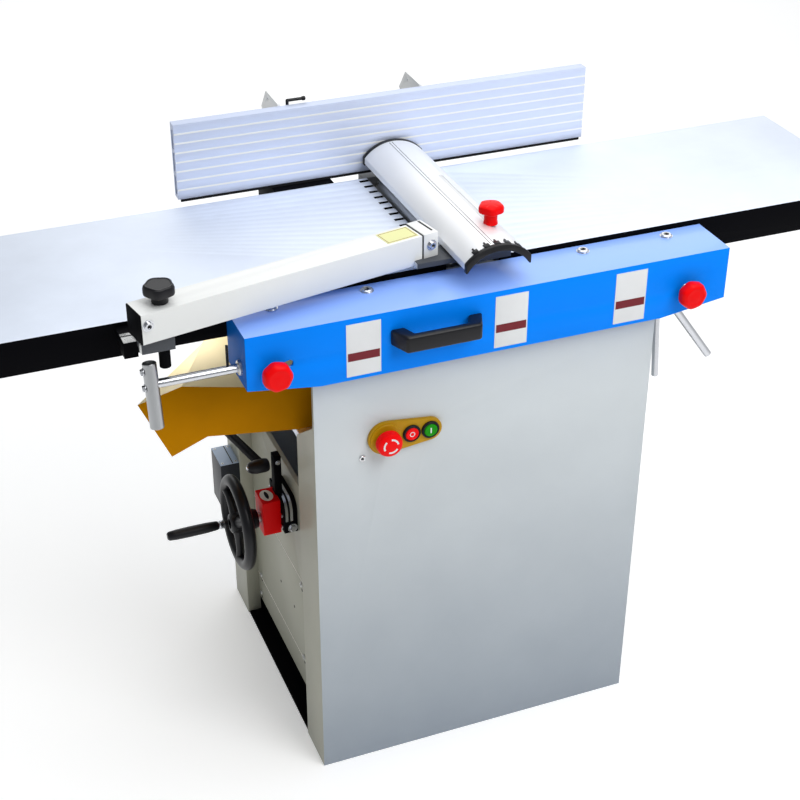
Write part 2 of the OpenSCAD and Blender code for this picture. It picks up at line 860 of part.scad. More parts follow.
// Bearing block with a rounded upper front edge and a stop arm on top
module handwheel_bearing() {
    x1 = -panel_x - sheet;
    y0 = -wheel_y - block_w / 2;
    y1 = -wheel_y + block_w / 2;
    z1 = gauge_top + 6;
    round_r = 22;
    color("black") difference() {
        union() {
            block(gauge_x1, x1, y0, y1, wheel_z - 16, z1 - round_r);
            block(gauge_x1, x1, y0 + round_r, y1, wheel_z - 16, z1);
            bar_along_x(gauge_x1, x1, y0 + round_r, z1 - round_r, round_r);
            block(gauge_x1 - 4, gauge_x1 + 8, -wheel_y - 9, -wheel_y + 9, gauge_top + 3, gauge_top + 77);
        }
        bar_along_x(gauge_x1 - 1, -panel_x, -wheel_y, wheel_z, shaft_r + run_c);
    }
}

module position_indicator() {
    color("orangered") difference() {
        block(gauge_x0, gauge_x1, -wheel_y - gauge_side / 2, -wheel_y + gauge_side / 2,
            gauge_top - gauge_h, gauge_top);
        bar_along_x(gauge_x0 - 1, gauge_x1 + 1, -wheel_y, wheel_z, shaft_r + run_c);
    }
}

// Straight tooth gaps along the cone of a bevel gear that stands on Z
module tooth_gaps() {
    gap_w = 0.8 * PI * gear_in / gear_teeth;
    for (i = [0 : gear_teeth - 1])
        rotate([0, 0, (i + 0.5) * 360 / gear_teeth]) rotate([0, -45, 0])
            translate([gear_in * sqrt(2) - 4, -gap_w / 2, -2])
                cube([gear_face * sqrt(2) + 8, gap_w, 6]);
}

// Bevel gear on Z with its cone's tip at the origin
module bevel_gear() {
    difference() {
        translate([0, 0, gear_in])
            cylinder(h = gear_face, r1 = gear_in - mesh_gap, r2 = gear_r - mesh_gap);
        tooth_gaps();
    }
}

module handwheel_shaft() {
    tip = lift_x - gear_in;
    color("silver") {
        bar_along_x(wheel_x - rim_r, tip - 2, -wheel_y, wheel_z, shaft_r);
        translate([lift_x, -wheel_y, wheel_z]) rotate([0, -90, 0]) bevel_gear();
    }
}

module handwheel() {
    spoke_r = 6;
    hub_r = 17;
    color("black") difference() {
        union() {
            translate([wheel_x, -wheel_y, wheel_z]) rotate([0, 90, 0])
                rotate_extrude() translate([wheel_r - rim_r, 0]) circle(rim_r);
            bar_along_x(wheel_x - 14, gauge_x0 - 1, -wheel_y, wheel_z, hub_r);
            for (turn = [55, 175, 295])
                translate([wheel_x, -wheel_y, wheel_z]) rotate([turn, 0, 0])
                    cylinder(h = wheel_r - rim_r, r = spoke_r);
            crank_place() bar_along_x(-10, 10, 0, 0, 8);
        }
        bar_along_x(wheel_x - rim_r - 1, gauge_x0, -wheel_y, wheel_z, shaft_r);
        crank_place() bar_along_x(-11, 11, 0, 0, 5 + run_c);
    }
}

// Place of the crank on the handwheel's rim
module crank_place() {
    translate([wheel_x, -wheel_y, wheel_z]) rotate([-35, 0, 0]) translate([0, crank_at, 0])
        children();
}

module crank_grip() {
    color("black") crank_place() {
        bar_along_x(-11, 10, 0, 0, 5);
        bar_along_x(-11 - crank_len, -11, 0, 0, crank_r);
    }
}

module lift_nut() {
    color("goldenrod") difference() {
        translate([lift_x, -wheel_y, wheel_z]) {
            bevel_gear();
            translate([0, 0, gear_r - 0.5]) cylinder(h = bridge_t + 12, r = nut_r);
            translate([0, 0, gear_r + 3 + bridge_t + 0.3]) cylinder(h = 8, r = nut_r + 5);
        }
        translate([lift_x, -wheel_y, wheel_z]) cylinder(h = 100, r = lift_r + run_c);
    }
}

module lift_screw() {
    color("silver") translate([lift_x, -wheel_y, wheel_z - 34])
        cylinder(h = bed_low - bed_rib - wheel_z + 34, r = lift_r);
}

module thicknesser_bed() {
    y0 = -col_in + 7;
    y1 = rear_in - 7;
    rib_x = bed_len / 2 - 65;
    ram_low = bed_h - 260;
    rib_low = bed_low - bed_rib;
    color("silver") {
        block(-bed_len / 2, bed_len / 2, y0, y1, bed_low, bed_h);
        for (x = [-rib_x, -10, rib_x - 16])
            block(x, x + 16, y0 + 12, y1 - 12, rib_low, bed_low);
        for (y = [y0 + 12, y1 - 28])
            block(-rib_x, rib_x, y, y + 16, rib_low, bed_low);
        block(lift_x - 24, lift_x + 24, -wheel_y - 24, -wheel_y + 24, rib_low, bed_low);
        translate([ram_x, ram_y, ram_low]) cylinder(h = bed_low - ram_low, r = ram_r);
    }
}

// Where the feed lever's rod ends, seen from its pivot
feed_run = feed_y + wheel_y;

module feed_lever() {
    color("black") difference() {
        union() {
            bar_along_x(feed_x, feed_x + 12, feed_y, feed_z, 10);
            translate([feed_x + 6, feed_y, feed_z]) rotate([90 - atan2(feed_rise, feed_run), 0, 0])
                translate([0, 0, 8]) cylinder(h = norm([feed_rise, feed_run]) - 8, r = feed_r);
        }
        bar_along_x(feed_x - 1, feed_x + 13, feed_y, feed_z, 5 + run_c);
    }
}

module feed_lever_knob() {
    x0 = feed_x + 6 - feed_knob * 0.7;
    color("black") difference() {
        bar_along_x(x0, x0 + feed_knob, -wheel_y, feed_z + feed_rise, feed_r + 4);
        translate([feed_x + 6, feed_y, feed_z]) rotate([90 - atan2(feed_rise, feed_run), 0, 0])
            cylinder(h = norm([feed_rise, feed_run]) + 0.05, r = feed_r + 0.02);
    }
}

// Corner points of the hood's cross-sections, from the closed end to the mouth
function hood_section(x0, x1, y0, y1, z0, z1) =
    [[x0, y0, z0], [x1, y0, z1], [x1, y1, z1], [x0, y1, z0]];

// Solid through a row of four-cornered sections
module loft(sections) {
    n = len(sections);
    sides = [for (i = [0 : n - 2], k = [0 : 3], f = [0, 1])
        let (a = 4 * i + k, b = 4 * i + (k + 1) % 4)
        f == 0 ? [a, a + 4, b] : [b, a + 4, b + 4]];
    caps = [[0, 1, 2], [0, 2, 3],
        [4 * n - 4, 4 * n - 2, 4 * n - 3], [4 * n - 4, 4 * n - 1, 4 * n - 2]];
    polyhedron(points = [for (s = sections) each s], faces = concat(sides, caps));
}

// Four free corners of a hood section drawn in by t and moved by out
function hood_corners(fb, ft, bt, bb, t, out) =
    [fb + [out, t, t], ft + [out, t, -t], bt + [out, -t, -t], bb + [out, -t, t]];

hood_end = 60;
hood_high = table_h - 90;
hood_out = table_h - 125;

// Sections of the hood drawn in by t
function hood_path(t) = [
    hood_section(hood_end - t, hood_end - t, -hood_front + t, hood_rear - t,
        hood_low + t, hood_low + 60 - t),
    hood_section(-half_w + 177, -half_w + 177, -hood_front + t, hood_rear - t,
        hood_low + t, hood_high - t),
    hood_corners([-half_w + 7, -hood_front, hood_low], [-half_w + 7, -hood_front, hood_low + 74],
        [-half_w + 7, hood_rear, hood_out], [-half_w + 7, hood_rear, hood_low], t, 0),
    hood_corners([-half_w - 125, 30 - hood_front, hood_low],
        [-half_w - 160, 26 - hood_front, hood_low + 98],
        [-half_w - 92, hood_rear - 130, hood_low + 86], [-half_w - 83, hood_rear - 130, hood_low], t, 0),
    hood_corners([-half_w - 184, 20 - hood_front, hood_low - 16],
        [-half_w - 228, 20 - hood_front, hood_low + 85],
        [-half_w - 170, hood_rear - 140, hood_low + 6],
        [-half_w - 138, hood_rear - 140, hood_low - 29], t, -t)];

module dust_hood() {
    color("goldenrod") difference() {
        union() {
            loft(hood_path(0));
            block(-half_w + 62, hood_end, -hood_front - flange_w, -hood_front + hood_t,
                ledge_z + 0.3, ledge_z + 0.3 + hood_t);
            block(-half_w + 47, hood_end, hood_rear - hood_t, hood_rear + flange_w,
                ledge_z + 0.3, ledge_z + 0.3 + hood_t);
        }
        loft(hood_path(hood_t));
        block(-90, hood_end + 1, -hood_front + 12, hood_rear - 12, ledge_z + 20, hood_high + 1);
    }
}

// Slot along a table way through the apron's front wall
module way_slot(x, span, slope) {
    translate([x, -apron_front - 1, stud_z]) rotate([0, -slope, 0]) {
        translate([span[0] + stud_slot, 0, 0]) rotate([-90, 0, 0]) cylinder(h = apron_t + 2, r = stud_slot);
        translate([span[1] - stud_slot, 0, 0]) rotate([-90, 0, 0]) cylinder(h = apron_t + 2, r = stud_slot);
        translate([span[0] + stud_slot, 0, -stud_slot])
            cube([span[1] - span[0] - 2 * stud_slot, apron_t + 2, 2 * stud_slot]);
    }
}

module apron() {
    end_x = apron_w / 2;
    flat_x = apron_flat / 2;
    color("dodgerblue") difference() {
        union() {
            slab_xz(-apron_front, -apron_front + apron_t)
                polygon([[-end_x, apron_top], [-end_x, apron_low + apron_rise], [-flat_x, apron_low],
                    [flat_x, apron_low], [end_x, apron_low + apron_rise], [end_x, apron_top]]);
            block(-end_x, end_x, -apron_front, -apron_back, apron_in, apron_top);
            both_sides()
                block(-end_x, -end_x + apron_t, -apron_front, -apron_back,
                    apron_low + apron_rise, apron_top);
            block(-flat_x, flat_x, -apron_front, -apron_front + apron_fold, apron_low, apron_low + apron_t);
            bar_along_x(-end_x + 1, -end_x + 16, -lock_y, lock_z, lock_r + 4);
            bar_along_y(-apron_front + 1, in_pivot[1] + 10, in_pivot[0], in_pivot[2], 6);
        }
        way_slot(out_stud_x, slot_out, way_angle);
        way_slot(in_stud_x, slot_in, -way_angle);
        bar_along_x(-end_x - 1, -end_x + 17, -lock_y, lock_z, lock_r + run_c);
    }
}

module apron_screws() {
    y = (apron_front + apron_back) / 2 - 26;
    color("steelblue") for (share = [-0.421, -0.232, 0.222, 0.409])
        translate([share * apron_w, -y, apron_top])
            cylinder(h = apron_screw_h, r1 = apron_screw_r, r2 = apron_screw_r - 2);
}

module lift_handle() {
    half = handle_w / 2;
    foot = 22;
    bend = 14;
    color("black") translate([handle_x, -apron_front, table_h - 49 - handle_h / 2]) linear_extrude(handle_h)
        polygon([[-half, 0], [-half + bend, -handle_d], [half - bend, -handle_d], [half, 0],
            [half - foot, 0], [half - foot - 8, -handle_d + handle_t],
            [-half + foot + 8, -handle_d + handle_t], [-half + foot, 0]]);
}

// Wedge under a table: z of the sloping way at x, measured from the arm's middle
function way_z(x, slope) = way_h + x * tan(slope);

way_rows = [-150, 95];

// Tilt arm on the right, with sloping way pads
module tilt_arm(slope) {
    half = way_len / 2;
    difference() {
        union() {
            block(arm_x - arm_w / 2, arm_x + arm_w / 2, -apron_front + apron_t, hinge_y, arm_low, arm_top);
            bar_along_x(arm_x - arm_w / 2, arm_x + arm_w / 2, hinge_y, hinge_z, eye_r);
            for (y = way_rows)
                slab_xz(y, y + way_w) polygon([
                    [arm_x - half, arm_top - 6], [arm_x + half, arm_top - 6],
                    [arm_x + half, way_z(half, slope)], [arm_x - half, way_z(-half, slope)]]);
        }
        bar_along_x(0, half_w, hinge_y, hinge_z, hinge_r + run_c);
    }
}

module left_tilt_arm() {
    color("dimgray") mirror([1, 0, 0]) tilt_arm(-way_angle);
}

module right_tilt_arm() {
    color("dimgray") tilt_arm(-way_angle);
}

module left_lock_lever() {
    color("silver") {
        bar_along_x(lock_x, -apron_w / 2 + 17, -lock_y, lock_z, lock_r);
        translate([lock_x, -lock_y, lock_z]) rotate([lock_lean, 0, 0]) difference() {
            translate([0, 0, -tube_down]) cylinder(h = tube_down + tube_up, r = tube_r);
            translate([0, 0, tube_up - 16]) cylinder(h = 17, r = tube_r - 2.5);
        }
    }
}

module right_lock_lever() {
    x = half_w + 24;
    color("silver") {
        bar_along_x(half_w - 14, x, lock_pivot_y, lock_pivot_z, rod_r + 0.5);
        translate([x, lock_pivot_y, lock_pivot_z]) rotate([-7, 0, 0])
            translate([0, 0, -rod_len]) cylinder(h = rod_len, r = rod_r);
        translate([x, lock_pivot_y, lock_pivot_z]) sphere(r = rod_r + 3);
    }
}

module infeed_lever() {
    color("silver") difference() {
        union() {
            bar_along_y(in_pivot[1] - 8, in_pivot[1] + 8, in_pivot[0], in_pivot[2], 10);
            translate(in_pivot) rotate([0, 180 - in_lever_tilt, 0]) translate([0, 0, 9])
                cylinder(h = in_lever_len - 9, r = in_lever_r);
        }
        bar_along_y(in_pivot[1] - 30, in_pivot[1] + 30, in_pivot[0], in_pivot[2], 6 + run_c);
    }
}

// Red clamp knob on its stud, in front of the apron
module clamp_knob(x) {
    lobes = 7;
    face = -apron_front - 4;
    bar_along_y(face - 2, -table_front - 3, x, stud_z, stud_r);
    bar_along_y(face - knob_d, face, x, stud_z, knob_r - 2);
    for (i = [0 : lobes - 1])
        translate([x, 0, stud_z]) rotate([0, i * 360 / lobes, 0])
            bar_along_y(face - knob_d + 4, face - 4, knob_r - 5, 0, 5);
}

module outfeed_clamp_knob() {
    color("red") clamp_knob(out_stud_x);
}

module infeed_clamp_knob() {
    color("red") clamp_knob(in_stud_x);
}

// Table on the right of the cutterhead with its surface at height top
module table(top, slope, stud_x) {
    x0 = lip_gap;
    x1 = table_reach;
    low = top - skirt;
    box_x = x0 + lip_len;
    y0 = -table_front;
    y1 = table_rear;
    pad = way_len / 2 + 12;
    pitch = (y1 - y0) / slot_count;
    difference() {
        union() {
            block(x0, x1, y0, y1, top - table_t, top);
            block(box_x, x1, y0, y0 + skirt_t, low, top);
            block(box_x, x1, y1 - skirt_t, y1, low, top);
            block(x1 - skirt_t, x1, y0, y1, low, top);
            block(box_x, box_x + skirt_t, y0, y1, low, top);
            block((box_x + x1) / 2, (box_x + x1) / 2 + skirt_t, y0, y1, low, top);
            block(stud_x - stud_lug, stud_x + stud_lug, y0 - 14, y0 + 1, stud_z - stud_lug, low + 12);
            for (y = way_rows)
                slab_xz(y - 6, y + way_w + 6) polygon([
                    [arm_x - pad, top - table_t + 1], [arm_x + pad, top - table_t + 1],
                    [arm_x + pad, way_z(pad, slope) + slide_gap],
                    [arm_x - pad, way_z(-pad, slope) + slide_gap]]);
        }
        for (i = [0 : slot_count - 1])
            block(x0 - 1, x0 + noise_len, y0 + (i + 0.5) * pitch - noise_w / 2,
                y0 + (i + 0.5) * pitch + noise_w / 2, top - table_t - 1, top + 1);
        bar_along_y(y0 - 15, y0 - 2, stud_x, stud_z, stud_r + run_c);
    }
}

module outfeed_table() {
    color("lightsteelblue") mirror([1, 0, 0]) table(table_h, -way_angle, -out_stud_x);
}

module infeed_table() {
    color("lightsteelblue") table(table_h - cut_depth, -way_angle, in_stud_x);
}

module fence_base() {
    guide_in = bar_w / 2 + slide_gap;
    guide_t = 8;
    color("dimgray") difference() {
        union() {
            block(base_x0, base_x1, table_rear, table_rear + 95, table_h - 48, table_h + 1);
            block(base_x0, base_x1, table_rear + 55, guide_y1, table_h - 20, table_h + 1);
            block(bar_x - guide_in - guide_t, bar_x + guide_in + guide_t, guide_y0, guide_y1,
                table_h, bar_low + bar_h + slide_gap + 10);
        }
        block(bar_x - guide_in, bar_x + guide_in, guide_y0 - 1, guide_y1 + 1,
            bar_low - slide_gap, bar_low + bar_h + slide_gap);
    }
}

lever_x = bar_x - 12;
lever_y = fence_y + fence_t;
lever_z = fence_low + fence_h - 18;

module fence_lock_lever() {
    rise = 23;
    reach = 26;
    color("black") {
        bar_along_y(lever_y - 4, lever_y + 2, lever_x, lever_z, 4);
        bar_along_y(lever_y + 0.3, lever_y + 10, lever_x, lever_z, 7);
        translate([lever_x, lever_y + 6, lever_z]) {
            cylinder(h = rise, r = 2.5);
            translate([0, 0, rise]) sphere(r = 2.5);
            translate([0, 0, rise]) rotate([0, 90, 0]) cylinder(h = reach, r = 2.5);
            translate([reach, 0, rise]) sphere(r = 3.5);
        }
    }
}

ear_gap = 0.3;
lug_w = 16;
ear_w = 11;

module fence_carriage() {
    ear_r = tilt_r + 5;
    color("dimgray") {
        block(bracket_left - lug_w, bracket_right + lug_w, beam_y0, beam_y1, bar_low, bar_low + bar_h);
        block(bar_x - bar_w / 2, bar_x + bar_w / 2, beam_y0, bar_end, bar_low, bar_low + bar_h);
        for (x = [bracket_left, bracket_right]) {
            for (side = [-1, 1])
                translate([x + side * (lug_w / 2 + ear_gap + ear_w / 2) - ear_w / 2, 0, 0]) {
                    bar_along_x(0, ear_w, tilt_y, tilt_z + ear_r - tilt_r - 2, ear_r);
                    block(0, ear_w, tilt_y, beam_y0 + 1, bar_low, bar_low + bar_h);
                }
            bar_along_x(x - lug_w, x + lug_w, tilt_y, tilt_z + ear_r - tilt_r - 2, tilt_r);
        }
    }
}

module fence_profile() {
    low = fence_low;
    pitch = fence_h / groove_count;
    color("gainsboro") difference() {
        slab_yz(-fence_len / 2, fence_len / 2) difference() {
            translate([fence_y, low]) square([fence_t, fence_h]);
            for (i = [1 : groove_count - 1])
                translate([fence_y - 1, low + i * pitch - 1]) square([1 + groove_d, 2]);
            for (i = [0 : 2])
                translate([fence_y + 4.5, low + 6 + i * (fence_h - 10) / 3])
                    square([fence_t - 9, (fence_h - 10) / 3 - 6]);
        }
        bar_along_y(lever_y - 5, lever_y + 1, lever_x, lever_z, 4 + run_c);
    }
}

module fence_brackets() {
    y0 = fence_y + fence_t;
    plate = 4;
    pin_z = tilt_z + 3;
    top = fence_low + fence_h;
    color("whitesmoke") for (x = [bracket_left, bracket_right]) difference() {
        union() {
            block(x - 40, x + 40, y0, y0 + plate, fence_low + 6, fence_low + 64);
            slab_yz(x - plate / 2, x + plate / 2) polygon([
                [y0, fence_low + 54], [y0 + 12, fence_low + 54], [y0 + 90, top - 32],
                [y0 + 62, top + 4], [y0, top + 3]]);
            bar_along_x(x - lug_w / 2, x + lug_w / 2, tilt_y, pin_z, tilt_r + 4);
            block(x - lug_w / 2, x + lug_w / 2, y0, tilt_y, pin_z - 4, pin_z + tilt_r + 4);
        }
        bar_along_x(x - lug_w, x + lug_w, tilt_y, pin_z, tilt_r + run_c);
        bar_along_x(x - plate, x + plate, y0 + 52, top - 7, 2.5);
    }
}

module guard_bracket() {
    y1 = -table_front;
    z1 = arm_z0 - collar_h - 0.6;
    low = table_h - 13;
    color("dimgray") difference() {
        union() {
            block(post_x - 33, post_x + 13, -post_y - 14, -post_y + 14, low, z1);
            block(post_x - 52, post_x + 15, y1 - 50, y1, low, table_h - 6);
            block(post_x - 52, post_x - 32.5, y1 - 50, y1 - 14, table_h - 30, table_h - 7);
        }
        translate([post_x, -post_y, table_h - 60]) cylinder(h = 100, r = post_r + run_c);
    }
}

module guard_post() {
    low = table_h - 44;
    color("silver") translate([post_x, -post_y, 0]) {
        translate([0, 0, low]) cylinder(h = arm_z0 + arm_side - low, r = post_r);
        translate([0, 0, arm_z0 - collar_h - 0.3]) cylinder(h = collar_h, r = post_r + 7);
    }
}

// Frame of the guard arm: along X from the post
module arm_frame() {
    translate([post_x, -post_y, arm_z0]) rotate([0, 0, arm_swing]) children();
}

module guard_arm() {
    half = arm_side / 2;
    color("whitesmoke") {
        difference() {
            arm_frame() difference() {
                block(-arm_tail, arm_len, -half, half, 0, arm_side);
                block(-arm_tail + arm_wall, arm_len - arm_wall, -half + arm_wall, half - arm_wall,
                    arm_wall, arm_side - arm_wall);
                translate([0, 0, -1]) cylinder(h = arm_side + 2, r = post_r + run_c);
            }
        }
        difference() {
            intersection() {
                bar_along_y(clamp_y - 29, clamp_y + 36, guard_x, guard_z, carrier_r);
                block(guard_x - guard_half + 9, guard_x + guard_half - 9, clamp_y - 30, clamp_y + 37,
                    arm_z0, guard_z + guard_r);
            }
            translate([clamp_x, clamp_y, arm_z0 - 1]) cylinder(h = 60, r = clamp_r + run_c);
        }
        block(post_x + arm_len * cos(arm_swing) - 12, guard_x - guard_half + 10, clamp_y - 19,
            clamp_y + 26, arm_z0, arm_z0 + 8);
    }
}

// Knob with round lobes standing on Z
module lobe_knob(r, h, lobes) {
    cylinder(h = h, r = r - 4);
    for (i = [0 : lobes - 1])
        rotate([0, 0, i * 360 / lobes]) translate([r - 5, 0, 2]) cylinder(h = h - 4, r = 5);
}

module guard_arm_knob() {
    color("black") translate([post_x, -post_y, arm_z0 + arm_side + 0.3]) {
        cylinder(h = 14, r = 7);
        translate([0, 0, 12]) lobe_knob(22, 16, 5);
    }
}

// Arched cross-section of the guard between two radii
module arch(r0, r1, half) {
    translate([guard_x, guard_z]) intersection() {
        difference() {
            circle(r1);
            circle(r0);
        }
        translate([-half, arch_low]) square([2 * half, r1 + 1]);
    }
}

module guard_plate() {
    color("white") difference() {
        slab_xz(guard_y0 + cap_len, guard_y1 - cap_len) arch(guard_in, guard_r, guard_half);
        block(clamp_x - clamp_r - 0.5, clamp_x + clamp_r + 0.5, clamp_y - 10, clamp_y + 190,
            guard_z, guard_z + 80);
    }
}

module guard_end_caps() {
    color("black") {
        slab_xz(guard_y0, guard_y0 + cap_len) arch(guard_in - 3, guard_r + 1, guard_half + 1);
        slab_xz(guard_y1 - cap_len, guard_y1) arch(guard_in - 3, guard_r + 1, guard_half + 1);
    }
}

module guard_knob() {
    color("red") translate([clamp_x, clamp_y, 0]) {
        translate([0, 0, arm_z0 + 6]) cylinder(h = guard_z + guard_r - arm_z0, r = clamp_r);
        translate([0, 0, guard_z + guard_r + 0.3]) cylinder(h = 18, r = 10);
        translate([0, 0, guard_z + guard_r + 16]) lobe_knob(19, 14, 3);
    }
}

cabinet_front();
cabinet_rear();
left_side_panel();
right_side_panel();
side_panel_screws();
base_frame();
bed_support();
motor_body();
motor_pulley();
drive_belt();
front_head();
rear_head();
cutterhead_bearings();
cutterhead();
knives();
cutterhead_pulley();
infeed_roller();
outfeed_roller();
hinge_brackets();
hinge_pins();
switch_plate();
estop_button();
stop_button();
start_button();
junction_box();
handwheel_bearing();
position_indicator();
handwheel_shaft();
handwheel();
crank_grip();
lift_nut();
lift_screw();
thicknesser_bed();
feed_lever();
feed_lever_knob();
dust_hood();
apron();
apron_screws();
lift_handle();
left_tilt_arm();
right_tilt_arm();
left_lock_lever();
right_lock_lever();
infeed_lever();
outfeed_clamp_knob();
infeed_clamp_knob();
outfeed_table();
infeed_table();
fence_base();
fence_lock_lever();
fence_carriage();
fence_profile();
fence_brackets();
guard_bracket();
guard_post();
guard_arm();
guard_arm_knob();
guard_plate();
guard_end_caps();
guard_knob();
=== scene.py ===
import json
import math

import bmesh
import bpy
from mathutils import Matrix, Vector


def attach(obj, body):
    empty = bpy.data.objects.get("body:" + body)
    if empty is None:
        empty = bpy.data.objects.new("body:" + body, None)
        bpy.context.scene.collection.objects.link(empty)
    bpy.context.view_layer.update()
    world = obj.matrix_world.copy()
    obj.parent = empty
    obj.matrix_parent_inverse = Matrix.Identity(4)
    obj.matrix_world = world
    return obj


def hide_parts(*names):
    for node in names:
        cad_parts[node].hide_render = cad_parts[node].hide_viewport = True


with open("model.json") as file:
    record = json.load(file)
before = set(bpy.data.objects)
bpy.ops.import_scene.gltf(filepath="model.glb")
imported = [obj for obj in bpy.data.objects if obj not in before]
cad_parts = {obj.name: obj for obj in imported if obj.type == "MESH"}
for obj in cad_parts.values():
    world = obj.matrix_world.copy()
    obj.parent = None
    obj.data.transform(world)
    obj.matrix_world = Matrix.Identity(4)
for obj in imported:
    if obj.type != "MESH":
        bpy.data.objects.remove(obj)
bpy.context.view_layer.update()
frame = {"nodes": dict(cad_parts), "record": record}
nodes = frame["nodes"]
bodyOfNode = {}
for bodyName, members in frame["record"]["behaviour"]["bodies"].items():
    for member in members:
        bodyOfNode[member] = bodyName
mm = 0.001

# Node groups shared by the materials


def newGroup(name, inputs, outputs):
    group = bpy.data.node_groups.new(name, "ShaderNodeTree")
    for label, kind, value in inputs:
        socket = group.interface.new_socket(name=label, in_out="INPUT", socket_type=kind)
        if value is not None:
            socket.default_value = value
    for label, kind in outputs:
        group.interface.new_socket(name=label, in_out="OUTPUT", socket_type=kind)
    return group, group.nodes.new("NodeGroupInput"), group.nodes.new("NodeGroupOutput")


def addNode(tree, kind, settings=None, values=None):
    made = tree.nodes.new(kind)
    for key, value in (settings or {}).items():
        setattr(made, key, value)
    for key, value in (values or {}).items():
        made.inputs[key].default_value = value
    return made


def makeVariation():
    group, source, sink = newGroup(
        "toneVariation",
        [("Color", "NodeSocketColor", (0.8, 0.8, 0.8, 1)), ("Amount", "NodeSocketFloat", 0.1),
         ("Scale", "NodeSocketFloat", 6.0)],
        [("Color", "NodeSocketColor")])
    coords = addNode(group, "ShaderNodeTexCoord")
    noise = addNode(group, "ShaderNodeTexNoise", values={"Detail": 5.0, "Roughness": 0.6})
    spread = addNode(group, "ShaderNodeMapRange", values={"From Min": 0.3, "From Max": 0.7,
                                                          "To Min": -1.0, "To Max": 1.0})
    scaled = addNode(group, "ShaderNodeMath", {"operation": "MULTIPLY"})
    lifted = addNode(group, "ShaderNodeMath", {"operation": "ADD"}, {1: 1.0})
    tint = addNode(group, "ShaderNodeHueSaturation", values={"Saturation": 1.0})
    group.links.new(coords.outputs["Object"], noise.inputs["Vector"])
    group.links.new(source.outputs["Scale"], noise.inputs["Scale"])
    group.links.new(noise.outputs["Fac"], spread.inputs["Value"])
    group.links.new(spread.outputs["Result"], scaled.inputs[0])
    group.links.new(source.outputs["Amount"], scaled.inputs[1])
    group.links.new(scaled.outputs[0], lifted.inputs[0])
    group.links.new(lifted.outputs[0], tint.inputs["Value"])
    group.links.new(source.outputs["Color"], tint.inputs["Color"])
    group.links.new(tint.outputs["Color"], sink.inputs["Color"])
    return group


# Darker towards the bottom of an object, by height with a little noise; on the cabinet paint this is painted
# shade
def makeFloorDust():
    group, source, sink = newGroup(
        "floorDust",
        [("Color", "NodeSocketColor", (0.8, 0.8, 0.8, 1)), ("Dust", "NodeSocketColor", (0.5, 0.45, 0.4, 1)),
         ("Height", "NodeSocketFloat", 0.12), ("Amount", "NodeSocketFloat", 0.3)],
        [("Color", "NodeSocketColor")])
    coords = addNode(group, "ShaderNodeTexCoord")
    split = addNode(group, "ShaderNodeSeparateXYZ")
    noise = addNode(group, "ShaderNodeTexNoise", values={"Scale": 9.0, "Detail": 6.0})
    wander = addNode(group, "ShaderNodeMath", {"operation": "MULTIPLY_ADD"}, {1: 0.12, 2: -0.06})
    height = addNode(group, "ShaderNodeMath", {"operation": "ADD"})
    fade = addNode(group, "ShaderNodeMapRange", values={"From Min": 0.0, "To Min": 1.0, "To Max": 0.0})
    weight = addNode(group, "ShaderNodeMath", {"operation": "MULTIPLY"})
    mix = addNode(group, "ShaderNodeMix", {"data_type": "RGBA"})
    group.links.new(coords.outputs["Object"], split.inputs[0])
    group.links.new(coords.outputs["Object"], noise.inputs["Vector"])
    group.links.new(noise.outputs["Fac"], wander.inputs[0])
    group.links.new(split.outputs["Z"], height.inputs[0])
    group.links.new(wander.outputs[0], height.inputs[1])
    group.links.new(height.outputs[0], fade.inputs["Value"])
    group.links.new(source.outputs["Height"], fade.inputs["From Max"])
    group.links.new(fade.outputs["Result"], weight.inputs[0])
    group.links.new(source.outputs["Amount"], weight.inputs[1])
    group.links.new(weight.outputs[0], mix.inputs["Factor"])
    group.links.new(source.outputs["Color"], mix.inputs[6])
    group.links.new(source.outputs["Dust"], mix.inputs[7])
    group.links.new(mix.outputs[2], sink.inputs["Color"])
    return group


def makeStreaks():
    group, source, sink = newGroup(
        "grindStreaks",
        [("Stretch", "NodeSocketVector", (4.0, 120.0, 40.0)), ("Strength", "NodeSocketFloat", 0.1),
         ("Base", "NodeSocketFloat", 0.3)],
        [("Roughness", "NodeSocketFloat"), ("Height", "NodeSocketFloat")])
    coords = addNode(group, "ShaderNodeTexCoord")
    stretch = addNode(group, "ShaderNodeVectorMath", {"operation": "MULTIPLY"})
    noise = addNode(group, "ShaderNodeTexNoise", values={"Scale": 5.0, "Detail": 4.0})
    rough = addNode(group, "ShaderNodeMath", {"operation": "MULTIPLY_ADD"})
    group.links.new(coords.outputs["Object"], stretch.inputs[0])
    group.links.new(source.outputs["Stretch"], stretch.inputs[1])
    group.links.new(stretch.outputs[0], noise.inputs["Vector"])
    group.links.new(noise.outputs["Fac"], rough.inputs[0])
    group.links.new(source.outputs["Strength"], rough.inputs[1])
    group.links.new(source.outputs["Base"], rough.inputs[2])
    group.links.new(rough.outputs[0], sink.inputs["Roughness"])
    group.links.new(noise.outputs["Fac"], sink.inputs["Height"])
    return group


variation = makeVariation()
floorDust = makeFloorDust()
streaks = makeStreaks()
print("node groups ready")


# Materials

# Noise scales, and bump distances in metres
pattern = {"paintTone": 5.0, "peel": 420.0, "peelDepth": 0.0006, "metalTone": 7.0, "streakDepth": 0.0004,
           "plasticTone": 14.0, "grainDepth": 0.0003, "castTone": 30.0, "cast": 260.0, "castDepth": 0.0008}
coat = {"share": 0.3, "roughness": 0.12}


def startMaterial(name, color, metallic, roughness):
    mat = bpy.data.materials.new(name)
    mat.use_nodes = True
    mat.diffuse_color = (*color, 1)
    shader = mat.node_tree.nodes["Principled BSDF"]
    shader.inputs["Metallic"].default_value = metallic
    shader.inputs["Roughness"].default_value = roughness
    return mat, mat.node_tree, shader


def addGroup(tree, group, values):
    made = tree.nodes.new("ShaderNodeGroup")
    made.node_tree = group
    for key, value in values.items():
        made.inputs[key].default_value = value
    return made


